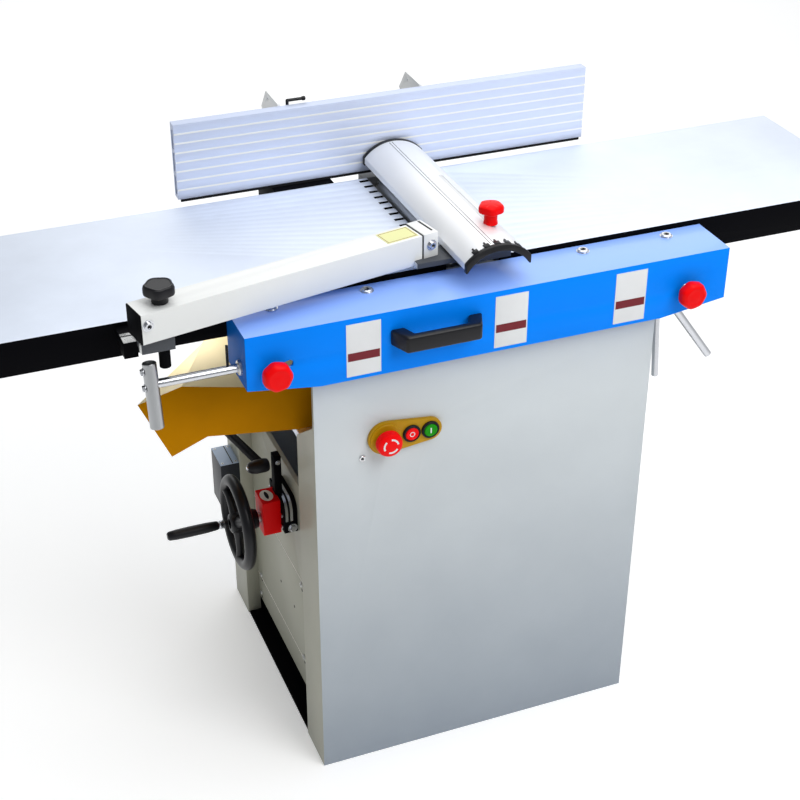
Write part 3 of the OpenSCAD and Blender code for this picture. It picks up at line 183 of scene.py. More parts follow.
def addBump(tree, shader, height, strength, distance):
    bump = addNode(tree, "ShaderNodeBump", values={"Strength": strength, "Distance": distance})
    tree.links.new(height, bump.inputs["Height"])
    tree.links.new(bump.outputs["Normal"], shader.inputs["Normal"])


def fineNoise(tree, scale, detail=3.0):
    coords = addNode(tree, "ShaderNodeTexCoord")
    noise = addNode(tree, "ShaderNodeTexNoise", values={"Scale": scale, "Detail": detail})
    tree.links.new(coords.outputs["Object"], noise.inputs["Vector"])
    return noise.outputs["Fac"]


def paint(name, color, roughness=0.35, gloss=0.3, peel=0.04, tone=0.03, lowDarkening=None):
    mat, tree, shader = startMaterial(name, color, 0.0, roughness)
    shader.inputs["Specular IOR Level"].default_value = gloss
    shader.inputs["Coat Weight"].default_value = gloss * coat["share"]
    shader.inputs["Coat Roughness"].default_value = coat["roughness"]
    shade = addGroup(tree, variation, {"Color": (*color, 1), "Amount": tone, "Scale": pattern["paintTone"]})
    last = shade.outputs["Color"]
    # Darker towards the bottom; on the cabinet paint this is painted shade
    if lowDarkening:
        shade = addGroup(tree, floorDust, {"Dust": (*lowDarkening[0], 1), "Height": lowDarkening[1], "Amount": lowDarkening[2]})
        tree.links.new(last, shade.inputs["Color"])
        last = shade.outputs["Color"]
    tree.links.new(last, shader.inputs["Base Color"])
    addBump(tree, shader, fineNoise(tree, pattern["peel"]), peel, pattern["peelDepth"])
    return mat


def metal(name, color, roughness=0.3, stretch=(4.0, 120.0, 40.0), spread=0.12, bump=0.05, tone=0.05,
          bare=1.0):
    mat, tree, shader = startMaterial(name, color, bare, roughness)
    shade = addGroup(tree, variation, {"Color": (*color, 1), "Amount": tone, "Scale": pattern["metalTone"]})
    brushed = addGroup(tree, streaks, {"Stretch": stretch, "Strength": spread,
                                       "Base": roughness - spread / 2})
    tree.links.new(shade.outputs["Color"], shader.inputs["Base Color"])
    tree.links.new(brushed.outputs["Roughness"], shader.inputs["Roughness"])
    addBump(tree, shader, brushed.outputs["Height"], bump, pattern["streakDepth"])
    return mat


def plastic(name, color, roughness=0.4, grain=0.06, scale=900.0, gloss=0.3, tone=0.04):
    mat, tree, shader = startMaterial(name, color, 0.0, roughness)
    shader.inputs["Specular IOR Level"].default_value = gloss
    shade = addGroup(tree, variation, {"Color": (*color, 1), "Amount": tone, "Scale": pattern["plasticTone"]})
    tree.links.new(shade.outputs["Color"], shader.inputs["Base Color"])
    addBump(tree, shader, fineNoise(tree, scale), grain, pattern["grainDepth"])
    return mat


def casting(name, color, roughness=0.6, bare=0.4, tone=0.15, grain=0.25):
    mat, tree, shader = startMaterial(name, color, bare, roughness)
    shade = addGroup(tree, variation, {"Color": (*color, 1), "Amount": tone, "Scale": pattern["castTone"]})
    tree.links.new(shade.outputs["Color"], shader.inputs["Base Color"])
    addBump(tree, shader, fineNoise(tree, pattern["cast"], 6.0), grain, pattern["castDepth"])
    return mat


# Numbers after the colour: paint has roughness, gloss, peel, tone and darkening towards the floor; metal has
# roughness, stretch, spread, bump, tone and bare; plastic has roughness, grain, scale and gloss
skins = {
    # cabinetPaint is darker towards the bottom as painted shade, standing in for light falling off low on the
    # cabinet
    "cabinet_paint": paint("cabinetPaint", (0.60, 0.64, 0.66), 0.42, 0.3, 0.05, 0.025,
                           ((0.25, 0.29, 0.34), 0.62, 0.95)),
    # sideShadePaint is the cabinet's paint drawn darker and beige as painted shade, for the left side panel
    # and the left-facing column faces; it is also darker towards the bottom
    "side_paint": paint("sideShadePaint", (0.36, 0.36, 0.29), 0.45, 0.25, 0.05, 0.04,
                        ((0.24, 0.24, 0.20), 0.2, 0.5)),
    "white_paint": paint("whitePaint", (0.76, 0.77, 0.76), 0.35, 0.35, 0.04, 0.02),
    "blue_paint": paint("bluePaint", (0.0, 0.23, 0.96), 0.45, 0.05, 0.03, 0.03),
    # blueGlareTop is the blue drawn paler and glossier on the apron's upward faces, a painted highlight for
    # glare; blueShadedEnd is the blue darkened on the apron's left end face, painted shade
    "blueGlareTop": paint("apronGlarePaint", (0.24, 0.42, 0.95), 0.5, 0.9, 0.02, 0.03),
    "blueShadedEnd": paint("apronEndShadePaint", (0.0, 0.11, 0.46), 0.5, 0.05, 0.03, 0.03),
    "yellow_paint": paint("yellowPaint", (0.50, 0.20, 0.0), 0.6, 0.02, 0.05, 0.1),
    "black_paint": paint("blackPaint", (0.002, 0.002, 0.003), 0.6, 0.03, 0.06, 0.1),
    "motor_paint": paint("motorPaint", (0.07, 0.075, 0.085), 0.5, 0.15, 0.08, 0.08),
    "grey_iron": casting("greyIron", (0.30, 0.31, 0.32)),
    "ground_iron": metal("groundIron", (0.82, 0.87, 0.96), 0.66, (3.0, 160.0, 30.0), 0.12, 0.02, 0.03),
    "tool_steel": metal("toolSteel", (0.46, 0.47, 0.48), 0.35, (60.0, 4.0, 60.0), 0.15, 0.08),
    "bright_steel": metal("brightSteel", (0.68, 0.69, 0.70), 0.28, (50.0, 50.0, 50.0), 0.1, 0.04),
    "chrome_steel": metal("chromeSteel", (0.60, 0.61, 0.64), 0.2, (30.0, 30.0, 30.0), 0.06, 0.02, 0.03),
    "bronze": metal("bronze", (0.60, 0.40, 0.14), 0.32, (40.0, 40.0, 40.0), 0.1, 0.04),
    "fence_aluminium": metal("fenceAluminium", (0.60, 0.66, 0.82), 0.55, (0.2, 60.0, 160.0), 0.1, 0.04,
                             0.02, 0.45),
    "guard_aluminium": metal("guardAluminium", (0.90, 0.91, 0.93), 0.48, (160.0, 0.3, 60.0), 0.08, 0.03,
                             0.02, 0.5),
    "belt_rubber": plastic("beltRubber", (0.015, 0.015, 0.015), 0.75, 0.2, 500.0),
    "black_plastic": plastic("blackPlastic", (0.004, 0.004, 0.006), 0.36, 0.06, 900.0, 0.3),
    "dark_plastic": plastic("darkPlastic", (0.012, 0.015, 0.022), 0.4),
    "red_plastic": plastic("redPlastic", (0.85, 0.0, 0.001), 0.4, 0.02, 900.0, 0.12),
    "green_plastic": plastic("greenPlastic", (0.01, 0.27, 0.003), 0.4, 0.02, 900.0, 0.1),
    "orange_plastic": plastic("orangePlastic", (0.46, 0.25, 0.004), 0.38, 0.03, 900.0, 0.15),
    "labelWhite": plastic("labelWhite", (0.72, 0.73, 0.74), 0.4, 0.01),
    "labelRed": plastic("labelRed", (0.16, 0.004, 0.012), 0.4, 0.01),
    "labelYellow": plastic("labelYellow", (0.70, 0.70, 0.34), 0.45, 0.01),
    # darkPartsAndShade is a dark finish for dark parts, also drawn as painted shade and shadow: in screw
    # sockets, in the lever tube's bore and under the fence face
    "darkPartsAndShade": plastic("darkPartsAndShade", (0.012, 0.012, 0.014), 0.5, 0.01, 900.0, 0.15),
    # paleWindowAndSeamHighlight is the gauge window's pale plastic, also drawn as painted highlight along the
    # side panel seams
    "paleWindowAndSeamHighlight": plastic("paleWindowAndSeamHighlight", (0.96, 0.94, 0.86), 0.4, 0.01),
    "boxLid": plastic("boxLid", (0.42, 0.52, 0.68), 0.35, 0.03),
    "sealLip": plastic("sealLip", (0.66, 0.67, 0.68), 0.6, 0.05),
    # hoodLitTop is the hood's yellow drawn pale cream on its upward faces, a painted highlight
    "hoodLitTop": paint("hoodLitTopPaint", (0.90, 0.78, 0.48), 0.4, 0.3, 0.05, 0.04),
}
slotOfNode = {entry["node"]: entry["material_slot"] for entry in frame["record"]["subparts"]}
for nodeName, nodeObject in nodes.items():
    nodeObject.data.materials.clear()
    nodeObject.data.materials.append(skins[slotOfNode[nodeName]])
print("materials ready")


# Mesh helpers


def finishMesh(bm, name, materials, body, replaced=(), sharp=32.0):
    mesh = bpy.data.meshes.new(name)
    bmesh.ops.recalc_face_normals(bm, faces=bm.faces)
    bm.to_mesh(mesh)
    bm.free()
    for face in mesh.polygons:
        face.use_smooth = True
    mesh.set_sharp_from_angle(angle=math.radians(sharp))
    made = bpy.data.objects.new(name, mesh)
    bpy.context.scene.collection.objects.link(made)
    for key in materials:
        mesh.materials.append(skins[key])
    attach(made, body)
    if replaced:
        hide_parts(*replaced)


def bevelSharp(bm, width, segments, angle=30.0):
    edges = [e for e in bm.edges if len(e.link_faces) == 2 and e.calc_face_angle() > math.radians(angle)]
    if edges:
        bmesh.ops.bevel(bm, geom=edges, offset=width, offset_type="OFFSET", segments=segments,
                        profile=0.5, affect="EDGES", clamp_overlap=True, material=-1)


# Points closer than this are one, and faces that differ by fewer degrees are one
weld = {"node": 0.000002, "detail": 0.000001, "flat": 0.6}


def dressNode(spec):
    # A copy of the node with rounded edges, in the node's own place
    bm = bmesh.new()
    bm.from_mesh(nodes[spec["node"]].data)
    bmesh.ops.remove_doubles(bm, verts=bm.verts, dist=weld["node"])
    bmesh.ops.dissolve_limit(bm, angle_limit=math.radians(weld["flat"]), verts=bm.verts, edges=bm.edges,
                             delimit=set())
    bevelSharp(bm, spec["bevel"] * mm, spec.get("segments", 2))
    keys = spec.get("skins", [slotOfNode[spec["node"]]])
    rule = spec.get("pick")
    if rule:
        bm.normal_update()
        for face in bm.faces:
            face.material_index = rule(face.normal, face.calc_center_median())
    else:
        for face in bm.faces:
            face.material_index = 0
    finishMesh(bm, spec["node"] + "Skin", keys, bodyOfNode[spec["node"]], [spec["node"]])


# Where one finish, or a painted lit or shaded copy of it, ends and the next begins on a node, in metres, and
# the least slope of its faces
borders = {"tableTop": 0.845, "boxLid": 0.3335, "boxTop": 0.3, "carrier": -0.084, "apronEnd": -0.36,
           "leftColumns": -0.2, "rearColumn": 0.1, "bracketTop": 0.8465, "bracketBack": -0.233}
level, sideways, sloping = 0.9, 0.5, 0.45


def isGround(normal, center):
    return 1 if normal.z > level and center.z > borders["tableTop"] else 0


def isCap(normal, center):
    return 1 if center.z > borders["boxLid"] or (center.z > borders["boxTop"] and normal.z > level) else 0


def isCarrier(normal, center):
    return 1 if center.x > borders["carrier"] else 0


# Upward faces get the paler blue as painted highlight, the left end face the darker blue as painted shade
def isGlareTopOrShadedEnd(normal, center):
    if normal.z > level:
        return 1
    return 2 if normal.x < -sideways and center.x < borders["apronEnd"] else 0


# Left-facing faces of the columns and the rear column's front face get the side paint, which is painted shade
def isShadedLeftSide(normal, center):
    rearColumnFront = normal.y < -sideways and center.y > borders["rearColumn"]
    return 1 if center.x < borders["leftColumns"] and (normal.x < -sideways or rearColumnFront) else 0


# Upward faces of the hood get the pale painted highlight
def isHoodLitTop(normal, center):
    return 1 if normal.z > sloping else 0


def isBlackEnd(normal, center):
    return 1 if center.z < borders["bracketTop"] or center.y > borders["bracketBack"] else 0


dressed = [
    {"node": "cabinet_front", "bevel": 2.5, "segments": 3, "skins": ["cabinet_paint", "side_paint"],
     "pick": isShadedLeftSide},
    {"node": "cabinet_rear", "bevel": 1.6, "skins": ["cabinet_paint", "side_paint"], "pick": isShadedLeftSide},
    {"node": "left_side_panel", "bevel": 0.8},
    {"node": "right_side_panel", "bevel": 0.8},
    {"node": "front_head", "bevel": 1.5},
    {"node": "rear_head", "bevel": 1.5},
    {"node": "hinge_brackets", "bevel": 1.2},
    {"node": "junction_box", "bevel": 2.0, "segments": 3, "skins": ["dark_plastic", "boxLid"], "pick": isCap},
    {"node": "handwheel_bearing", "bevel": 1.0},
    {"node": "position_indicator", "bevel": 4.0, "segments": 4},
    {"node": "thicknesser_bed", "bevel": 1.0},
    {"node": "apron", "bevel": 1.8, "segments": 3, "skins": ["blue_paint", "blueGlareTop", "blueShadedEnd"],
     "pick": isGlareTopOrShadedEnd},
    {"node": "left_tilt_arm", "bevel": 1.2},
    {"node": "right_tilt_arm", "bevel": 1.2},
    {"node": "outfeed_table", "bevel": 0.9, "skins": ["black_paint", "ground_iron"], "pick": isGround},
    {"node": "infeed_table", "bevel": 0.9, "skins": ["black_paint", "ground_iron"], "pick": isGround},
    {"node": "fence_profile", "bevel": 0.5},
    {"node": "fence_brackets", "bevel": 0.3},
    {"node": "fence_base", "bevel": 1.2},
    {"node": "fence_carriage", "bevel": 0.3},
    {"node": "guard_bracket", "bevel": 2.5, "segments": 3, "skins": ["motor_paint", "black_paint"],
     "pick": isBlackEnd},
    {"node": "guard_arm", "bevel": 1.6, "segments": 3, "skins": ["white_paint", "motor_paint"],
     "pick": isCarrier},
    {"node": "guard_plate", "bevel": 1.0},
    {"node": "guard_end_caps", "bevel": 1.2, "segments": 3},
    {"node": "dust_hood", "bevel": 0.8, "skins": ["yellow_paint", "hoodLitTop"], "pick": isHoodLitTop},
    {"node": "switch_plate", "bevel": 2.0, "segments": 3},
    {"node": "feed_lever", "bevel": 0.8},
    {"node": "lift_handle", "bevel": 4.0, "segments": 4},
]
for spec in dressed:
    dressNode(spec)
print("dressed nodes", len(dressed))


# Shapes for the details, in millimetres


def axisMatrix(place, axis):
    return Matrix.Translation(Vector(place) * mm) @ Vector(axis).to_track_quat("Z", "Y").to_matrix().to_4x4()


def joinInto(bm, part, matrix, material):
    for face in part.faces:
        face.material_index = material
    bmesh.ops.transform(part, matrix=matrix, verts=part.verts)
    scratch = bpy.data.meshes.new("scratch")
    part.to_mesh(scratch)
    part.free()
    bm.from_mesh(scratch)
    bpy.data.meshes.remove(scratch)


# Shares of the widest radius between which the lobes of a knob fade in
scallop = {"from": 0.55, "fade": 0.35}


def turned(bm, profile, place, axis, material=0, steps=48, lobes=0, depth=0.0):
    # Radius and height pairs turned about an axis; lobes scallop the widest part
    part = bmesh.new()
    ring = [part.verts.new((radius * mm, 0, height * mm)) for radius, height in profile]
    lines = [part.edges.new(pair) for pair in zip(ring, ring[1:])]
    bmesh.ops.spin(part, geom=ring + lines, cent=(0, 0, 0), axis=(0, 0, 1), dvec=(0, 0, 0),
                   angle=math.tau, steps=steps, use_merge=True)
    bmesh.ops.remove_doubles(part, verts=part.verts, dist=weld["detail"])
    if lobes:
        widest = max(radius for radius, height in profile) * mm
        for vert in part.verts:
            share = math.hypot(vert.co.x, vert.co.y) / widest
            weight = min(1.0, max(0.0, (share - scallop["from"]) / scallop["fade"]))
            wave = 0.5 - 0.5 * math.cos(lobes * math.atan2(vert.co.y, vert.co.x))
            shrink = 1.0 - depth * wave * weight
            vert.co.x *= shrink
            vert.co.y *= shrink
    joinInto(bm, part, axisMatrix(place, axis), material)


def rod(bm, start, end, radius, material=0, chamfer=0.8, steps=32):
    length = (Vector(end) - Vector(start)).length
    turned(bm, [(0, 0), (radius - chamfer, 0), (radius, chamfer), (radius, length - chamfer),
                (radius - chamfer, length), (0, length)], start, Vector(end) - Vector(start), material, steps)


def boxed(bm, low, high, edge=0.0, material=0, segments=2, matrix=Matrix.Identity(4)):
    part = bmesh.new()
    bmesh.ops.create_cube(part, size=1)
    size = Vector(high) - Vector(low)
    for vert in part.verts:
        vert.co = Vector([(low[i] + (vert.co[i] + 0.5) * size[i]) * mm for i in range(3)])
    if edge:
        bmesh.ops.bevel(part, geom=part.edges[:], offset=edge * mm, offset_type="OFFSET", segments=segments,
                        profile=0.5, affect="EDGES", clamp_overlap=True, material=-1)
    joinInto(bm, part, matrix, material)


def arcBand(bm, place, axis, radii, heights, start, sweep, material, steps=14):
    # Raised band along part of a circle: a four-cornered section, spun
    part = bmesh.new()
    corners = ((radii[0], heights[0]), (radii[1], heights[0]), (radii[1], heights[1]), (radii[0], heights[1]))
    section = part.faces.new([part.verts.new((radius * mm, 0, height * mm)) for radius, height in corners])
    bmesh.ops.rotate(part, cent=(0, 0, 0), matrix=Matrix.Rotation(math.radians(start), 3, "Z"),
                     verts=part.verts)
    bmesh.ops.spin(part, geom=[section], cent=(0, 0, 0), axis=(0, 0, 1), dvec=(0, 0, 0),
                   angle=math.radians(sweep), steps=steps)
    joinInto(bm, part, axisMatrix(place, axis), material)


def disc(bm, place, axis, radius, height, material=0, steps=20):
    turned(bm, [(0, 0), (radius, 0), (radius, height), (0, height)], place, axis, material, steps)


def capScrew(bm, place, axis, radius, height, skin=0, dark=1):
    # Round head with a six-sided socket; the dark disc at its floor is painted shade
    socket, shoulder, low = radius * 0.52, height * 0.75, height * 0.5
    turned(bm, [(0, 0), (radius, 0), (radius, shoulder), (radius * 0.86, height), (socket, height),
                (socket, low), (0, low)], place, axis, skin, 24)
    inner, lift = socket * 0.98, height * 0.52
    turned(bm, [(0, lift), (inner, lift), (inner, low)], place, axis, dark, 6)


def hexBolt(bm, place, axis, radius, height, skin=0):
    # Six-sided head on a flange
    flange, rise = radius * 1.35, 1.2
    turned(bm, [(0, 0), (flange, 0), (flange, rise), (radius, rise), (0, rise)], place, axis, skin, 24)
    turned(bm, [(0, rise), (radius, rise), (radius, height * 0.8), (radius * 0.82, height), (0, height)],
           place, axis, skin, 6)


# Apron: blank label plates, cap screws and red clamp knobs

labels = {"x": (-208, 20, 215), "z": (759, 843), "half": 26, "face": -278, "band": (784, 797), "margin": 2}


def makeLabels(spec):
    bm = bmesh.new()
    half, face = spec["half"], spec["face"]
    inner = half - spec["margin"]
    for x in spec["x"]:
        boxed(bm, (x - half, face - 0.6, spec["z"][0]), (x + half, face + 0.2, spec["z"][1]), 0.25, 0)
        boxed(bm, (x - inner, face - 0.8, spec["band"][0]), (x + inner, face - 0.3, spec["band"][1]), 0.0, 1)
    finishMesh(bm, "labelPlates", ["labelWhite", "labelRed"], "tilt_frame")


makeLabels(labels)

apronScrews = {"x": (-319.96, -176.32, 168.72, 310.84), "y": -207.5, "z": 852, "head": (8.4, 3.6),
               "washer": (10, 0.7)}


def makeApronScrews(spec):
    bm = bmesh.new()
    for x in spec["x"]:
        capScrew(bm, (x, spec["y"], spec["z"]), (0, 0, 1), *spec["head"])
        disc(bm, (x, spec["y"], spec["z"]), (0, 0, 1), *spec["washer"], 0, 32)
    finishMesh(bm, "apronCapScrews", ["bright_steel", "darkPartsAndShade"], "tilt_frame", ["apron_screws"])


makeApronScrews(apronScrews)

clampKnobs = [
    {"node": "outfeed_clamp_knob", "x": -341, "z": 794},
    {"node": "infeed_clamp_knob", "x": 311, "z": 794},
]
clampShape = {"grip": [(0, 0), (13, 0), (13.5, 4), (17, 5.5), (20.4, 7.5), (21.6, 10), (21.6, 18),
                       (20.6, 21), (18.5, 23.2), (15.5, 24.6), (14, 24.8), (12.6, 24.4), (6, 25.4),
                       (0, 25.8)],
              "washer": [(0, 0), (12, 0), (12, 1.6), (11.4, 2.2), (0, 2.2)],
              "gripY": -282, "washerY": -278.3, "studY": (-284, -188), "stud": 5,
              "lobes": 7, "scallop": 0.045}
for knob in clampKnobs:
    bm = bmesh.new()
    x, z = knob["x"], knob["z"]
    turned(bm, clampShape["grip"], (x, clampShape["gripY"], z), (0, -1, 0), 0, 84,
           clampShape["lobes"], clampShape["scallop"])
    rod(bm, (x, clampShape["studY"][0], z), (x, clampShape["studY"][1], z), clampShape["stud"], 1)
    turned(bm, clampShape["washer"], (x, clampShape["washerY"], z), (0, -1, 0), 1)
    finishMesh(bm, knob["node"] + "Skin", ["red_plastic", "bright_steel"], bodyOfNode[knob["node"]],
               [knob["node"]])

handleScrews = {"at": ((-160, -289, 811), (-36, -289, 811)), "tilt": (0.92, -0.39), "head": (4.2, 2.6)}
bm = bmesh.new()
for side, spot in zip((-1, 1), handleScrews["at"]):
    aim = (side * handleScrews["tilt"][0], handleScrews["tilt"][1], 0)
    capScrew(bm, spot, aim, *handleScrews["head"])
finishMesh(bm, "handleScrews", ["darkPartsAndShade", "black_plastic"], "tilt_frame")

# Levers on the apron and on the cabinet's right side

leftLock = {"x": -505.5, "y": -250, "z": 792, "up": 32, "down": 64, "radius": 10, "shaft": 6.5, "end": -363,
            "lean": -10, "pin": (-398, 39), "nuts": (20, -4)}


def makeLeftLock(spec):
    bm = bmesh.new()
    x, y, z = spec["x"], spec["y"], spec["z"]
    rod(bm, (x + 4, y, z), (spec["end"], y, z), spec["shaft"], 0)
    r = spec["radius"]
    low, high = -spec["down"], spec["up"]
    lean = math.radians(spec["lean"])
    aim = Vector((0, -math.sin(lean), math.cos(lean)))
    turned(bm, [(0, low + 3), (r - 3, low + 3), (r - 2.6, low), (r - 0.8, low), (r, low + 1), (r, high - 1),
                (r - 0.8, high), (r - 3.4, high), (r - 3.6, high - 1), (r - 3.6, high - 15), (0, high - 15)],
           (x, y, z), aim, 2, 40)
    # Dark disc down in the top of the tube: painted shade in its bore
    turned(bm, [(0, high - 8), (r - 3.7, high - 8), (r - 3.7, high - 7)], (x, y, z), aim, 1, 40)
    for lift in spec["nuts"]:
        hexBolt(bm, Vector((x - r + 0.6, y, z)) + aim * lift, (-1, 0, 0), 4.5, 4.5)
    rod(bm, (spec["pin"][0], y, z + 4), (spec["pin"][0], y, z + spec["pin"][1]), 2, 1, 0.5, 16)
    finishMesh(bm, "leftLockSkin", ["chrome_steel", "darkPartsAndShade", "tool_steel"], "left_lock",
               ["left_lock_lever"])


makeLeftLock(leftLock)
lockBush = {"x": -380, "profile": [(6.6, 0), (11, 0), (11, 3), (10, 4), (6.6, 4)]}
bm = bmesh.new()
turned(bm, lockBush["profile"], (lockBush["x"], leftLock["y"], leftLock["z"]), (-1, 0, 0), 1, 32)
finishMesh(bm, "lockBush", ["darkPartsAndShade", "bright_steel"], "tilt_frame")

rightLock = {"x": 301, "y": -217, "z": 728, "length": 110, "lean": -7, "radius": 5.5,
             "shaft": 6, "inner": 263,
             "ball": [(0, -8.5), (4, -7.6), (7.4, -4), (8.5, 0), (7.4, 4), (4, 7.6), (0, 8.5)]}
lean = math.radians(rightLock["lean"])
bm = bmesh.new()
pivot = Vector((rightLock["x"], rightLock["y"], rightLock["z"]))
tip = pivot + Vector((0, math.sin(lean), -math.cos(lean))) * rightLock["length"]
rod(bm, (rightLock["inner"], rightLock["y"], rightLock["z"]), pivot, rightLock["shaft"], 0)
rod(bm, pivot, tip, rightLock["radius"], 0, 1.6)
turned(bm, rightLock["ball"], pivot, (1, 0, 0), 0, 32)
finishMesh(bm, "rightLockSkin", ["chrome_steel"], "right_lock", ["right_lock_lever"])

depthLever = {"pivot": (297, -215, 778), "tilt": 36, "reach": (10, 186), "radius": 6.5,
              "hub": [(6.1, -8), (9.4, -8), (10, -7.2), (10, 7.2), (9.4, 8), (6.1, 8)]}
bm = bmesh.new()
pivot = Vector(depthLever["pivot"])
slant = math.radians(depthLever["tilt"])
way = Vector((math.sin(slant), 0, -math.cos(slant)))
near, far = [pivot + way * reach for reach in depthLever["reach"]]
turned(bm, depthLever["hub"], pivot, (0, 1, 0), 0, 40)
rod(bm, near, far, depthLever["radius"], 0, 1.8)
finishMesh(bm, "depthLeverSkin", ["chrome_steel"], "depth_lever", ["infeed_lever"])
print("apron details ready")

# Bridge guard and its arm

armTrim = {"pivot": (-0.484, -0.248, 0.870), "turn": 11.25, "sticker": (348, 400), "end": 428, "half": 22,
           "top": 44, "tail": -38, "margin": 2, "line": 0.7, "rim": 1.6, "cap": 23,
           "screws": (((418, -23.6, 27), 6.0), ((-29, -22, 27), 6.2))}
armFrame = (Matrix.Translation(Vector(armTrim["pivot"]))
            @ Matrix.Rotation(math.radians(armTrim["turn"]), 4, "Z"))


def makeArmTrim(spec):
    bm = bmesh.new()
    half, top, end, rim = spec["half"], spec["top"], spec["end"], spec["rim"]
    x0, x1 = spec["sticker"]
    wide = half - 5
    boxed(bm, (x0, -wide, top - 0.2), (x1, wide, top + 0.35), 0.0, 1, 1, armFrame)
    x0, x1, wide = x0 + spec["margin"], x1 - spec["margin"], wide - spec["margin"]
    line, lift = spec["line"], top + 0.5
    for low, high in (((x0, -wide, top), (x1, -wide + line, lift)),
                      ((x0, wide - line, top), (x1, wide, lift)),
                      ((x0, -wide, top), (x0 + line, wide, lift)),
                      ((x1 - line, -wide, top), (x1, wide, lift))):
        boxed(bm, low, high, 0.0, 2, 1, armFrame)
    start = end - spec["cap"]
    boxed(bm, (start, -half - rim, 4), (end + rim, half + rim, top + rim), 1.0, 0, 2, armFrame)
    boxed(bm, (start - 2, -half - 0.4, 0), (start + 0.5, half + 0.4, top + 0.4), 0.0, 3, 1, armFrame)
    boxed(bm, (end - 6, -half + 6, top + 1.2), (end - 3, half - 2, top + 1.9), 0.0, 3, 1, armFrame)
    boxed(bm, (spec["tail"] - 2, -half + 0.3, 0.3), (spec["tail"] + 1, half - 0.3, top - 0.3),
          0.6, 4, 2, armFrame)
    for spot, size in spec["screws"]:
        place = armFrame @ (Vector(spot) * mm)
        aim = armFrame.to_3x3() @ Vector((0, -1, 0))
        disc(bm, place / mm, aim, size * 1.35, 1, 5, 24)
        capScrew(bm, place / mm + aim * 0.6, aim, size, 4, 5, 3)
    finishMesh(bm, "armTrim", ["white_paint", "labelYellow", "labelRed", "darkPartsAndShade", "black_paint",
                               "chrome_steel"], "guard_swing_arm")


makeArmTrim(armTrim)

guard = {"x": 5, "z": 849, "radius": 66, "front": -262, "rear": 158, "slot": (-195.8, 4.2), "clamp": 25,
         "lines": (82.5, 86.5), "teeth": (60, 76, 90, 104, 120)}


def makeGuardTrim(spec):
    bm = bmesh.new()
    for angle in spec["lines"]:
        reach = spec["radius"] + 0.05
        x = spec["x"] - math.cos(math.radians(angle)) * reach
        z = spec["z"] + math.sin(math.radians(angle)) * reach
        boxed(bm, (x - 0.35, spec["front"] + 12, z - 0.5), (x + 0.35, spec["rear"] - 12, z + 0.12), 0.0, 1)
    offset = spec["clamp"] - spec["x"]
    for side in (-1, 1):
        near, far = offset + side * 0.25, offset + side * 4.6
        low = spec["z"] + math.sqrt(spec["radius"] ** 2 - max(near, far) ** 2) - 1.4
        x0, x1 = sorted((spec["x"] + near, spec["x"] + far))
        boxed(bm, (x0, spec["slot"][0], low - 1.6), (x1, spec["slot"][1], low + 0.4), 0.0, 2)
    front, reach = spec["front"], spec["radius"]
    for angle in spec["teeth"]:
        turn = Matrix.Translation(Vector((spec["x"] * mm, 0, spec["z"] * mm))) @ Matrix.Rotation(
            math.radians(90 - angle), 4, "Y")
        boxed(bm, (-4.5, front + 5, reach - 1), (4.5, front + 15, reach + 1.6), 0.6, 0, 2, turn)
        boxed(bm, (-1.4, front + 14, reach - 1), (1.4, front + 21, reach + 1.2), 0.4, 0, 2, turn)
    finishMesh(bm, "guardTrim", ["black_plastic", "darkPartsAndShade", "sealLip"], "bridge_guard")


makeGuardTrim(guard)

guardKnob = {"place": (25, -185.79, 915.3), "stud": (-39.3, 0.7), "lobes": 5, "scallop": 0.1,
             "profile": [(0, -2), (10.5, -2), (10.5, 1), (9.8, 3), (9.8, 14.5), (11, 16), (17.6, 16.6),
                         (19, 18), (19.2, 24), (18, 27), (15, 28.6), (0, 29.4)]}
bm = bmesh.new()
turned(bm, guardKnob["profile"], guardKnob["place"], (0, 0, 1), 0, 80, guardKnob["lobes"],
       guardKnob["scallop"])
low, high = [Vector(guardKnob["place"]) + Vector((0, 0, rise)) for rise in guardKnob["stud"]]
rod(bm, low, high, 4, 1)
finishMesh(bm, "guardKnobSkin", ["red_plastic", "bright_steel"], "guard_clamp", ["guard_knob"])

armKnob = {"place": (-484, -248, 914.3), "lobes": 5, "scallop": 0.11,
           "profile": [(0, 0), (11, 0), (11.6, 1), (11.6, 9), (12.5, 11), (19, 12), (21.4, 13.6), (22, 16),
                       (22, 23), (21, 26), (18.6, 27.6), (17.4, 27.4), (16.6, 26.8), (0, 26.8)]}
bm = bmesh.new()
turned(bm, armKnob["profile"], armKnob["place"], (0, 0, 1), 0, 80, armKnob["lobes"], armKnob["scallop"])
finishMesh(bm, "armKnobSkin", ["black_plastic"], "guard_arm_clamp", ["guard_arm_knob"])

bracketTrim = {"top": 853, "x": (-535.5, -517), "pads": ((-234.5, -216.5), (-214.5, -207)),
               "clip": ((-519, -261.5, 849), (-516.6, -255, 862))}
bm = bmesh.new()
for near, far in bracketTrim["pads"]:
    boxed(bm, (bracketTrim["x"][0], near, bracketTrim["top"] - 0.4),
          (bracketTrim["x"][1], far, bracketTrim["top"] + 1), 0.4, 0)
boxed(bm, *bracketTrim["clip"], 0.4, 0)
finishMesh(bm, "bracketTrim", ["white_paint"], "outfeed_unit")
print("guard details ready")

# Switch with its three buttons

switch = {"z": 629, "face": -259, "estop": -168, "stop": -127, "start": -97,
          "estopRing": [(10.8, 0), (24.5, 0), (24.5, 1.8), (23.4, 2.6), (10.8, 2.6)],
          "buttonRing": [(10.8, 0), (14.2, 0), (14.2, 2.8), (12.8, 4.2), (11.4, 4.2), (10.8, 3.4)],
          "mushroom": [(0, -26), (10.5, -26), (10.5, 8), (18.6, 8.4), (20, 10.4), (20, 17.6), (18.6, 21),
                       (15.4, 23), (12, 23.6), (0, 24)],
          "button": [(0, -26), (10.4, -26), (10.4, 3.6), (9.6, 4.6), (7.4, 4.8), (6.8, 4.3), (0, 4.1)],
          "arcs": (10, 130, 250), "sweep": 78, "arcRadii": (9.6, 12.4), "arcHeights": (23.4, 23.85)}


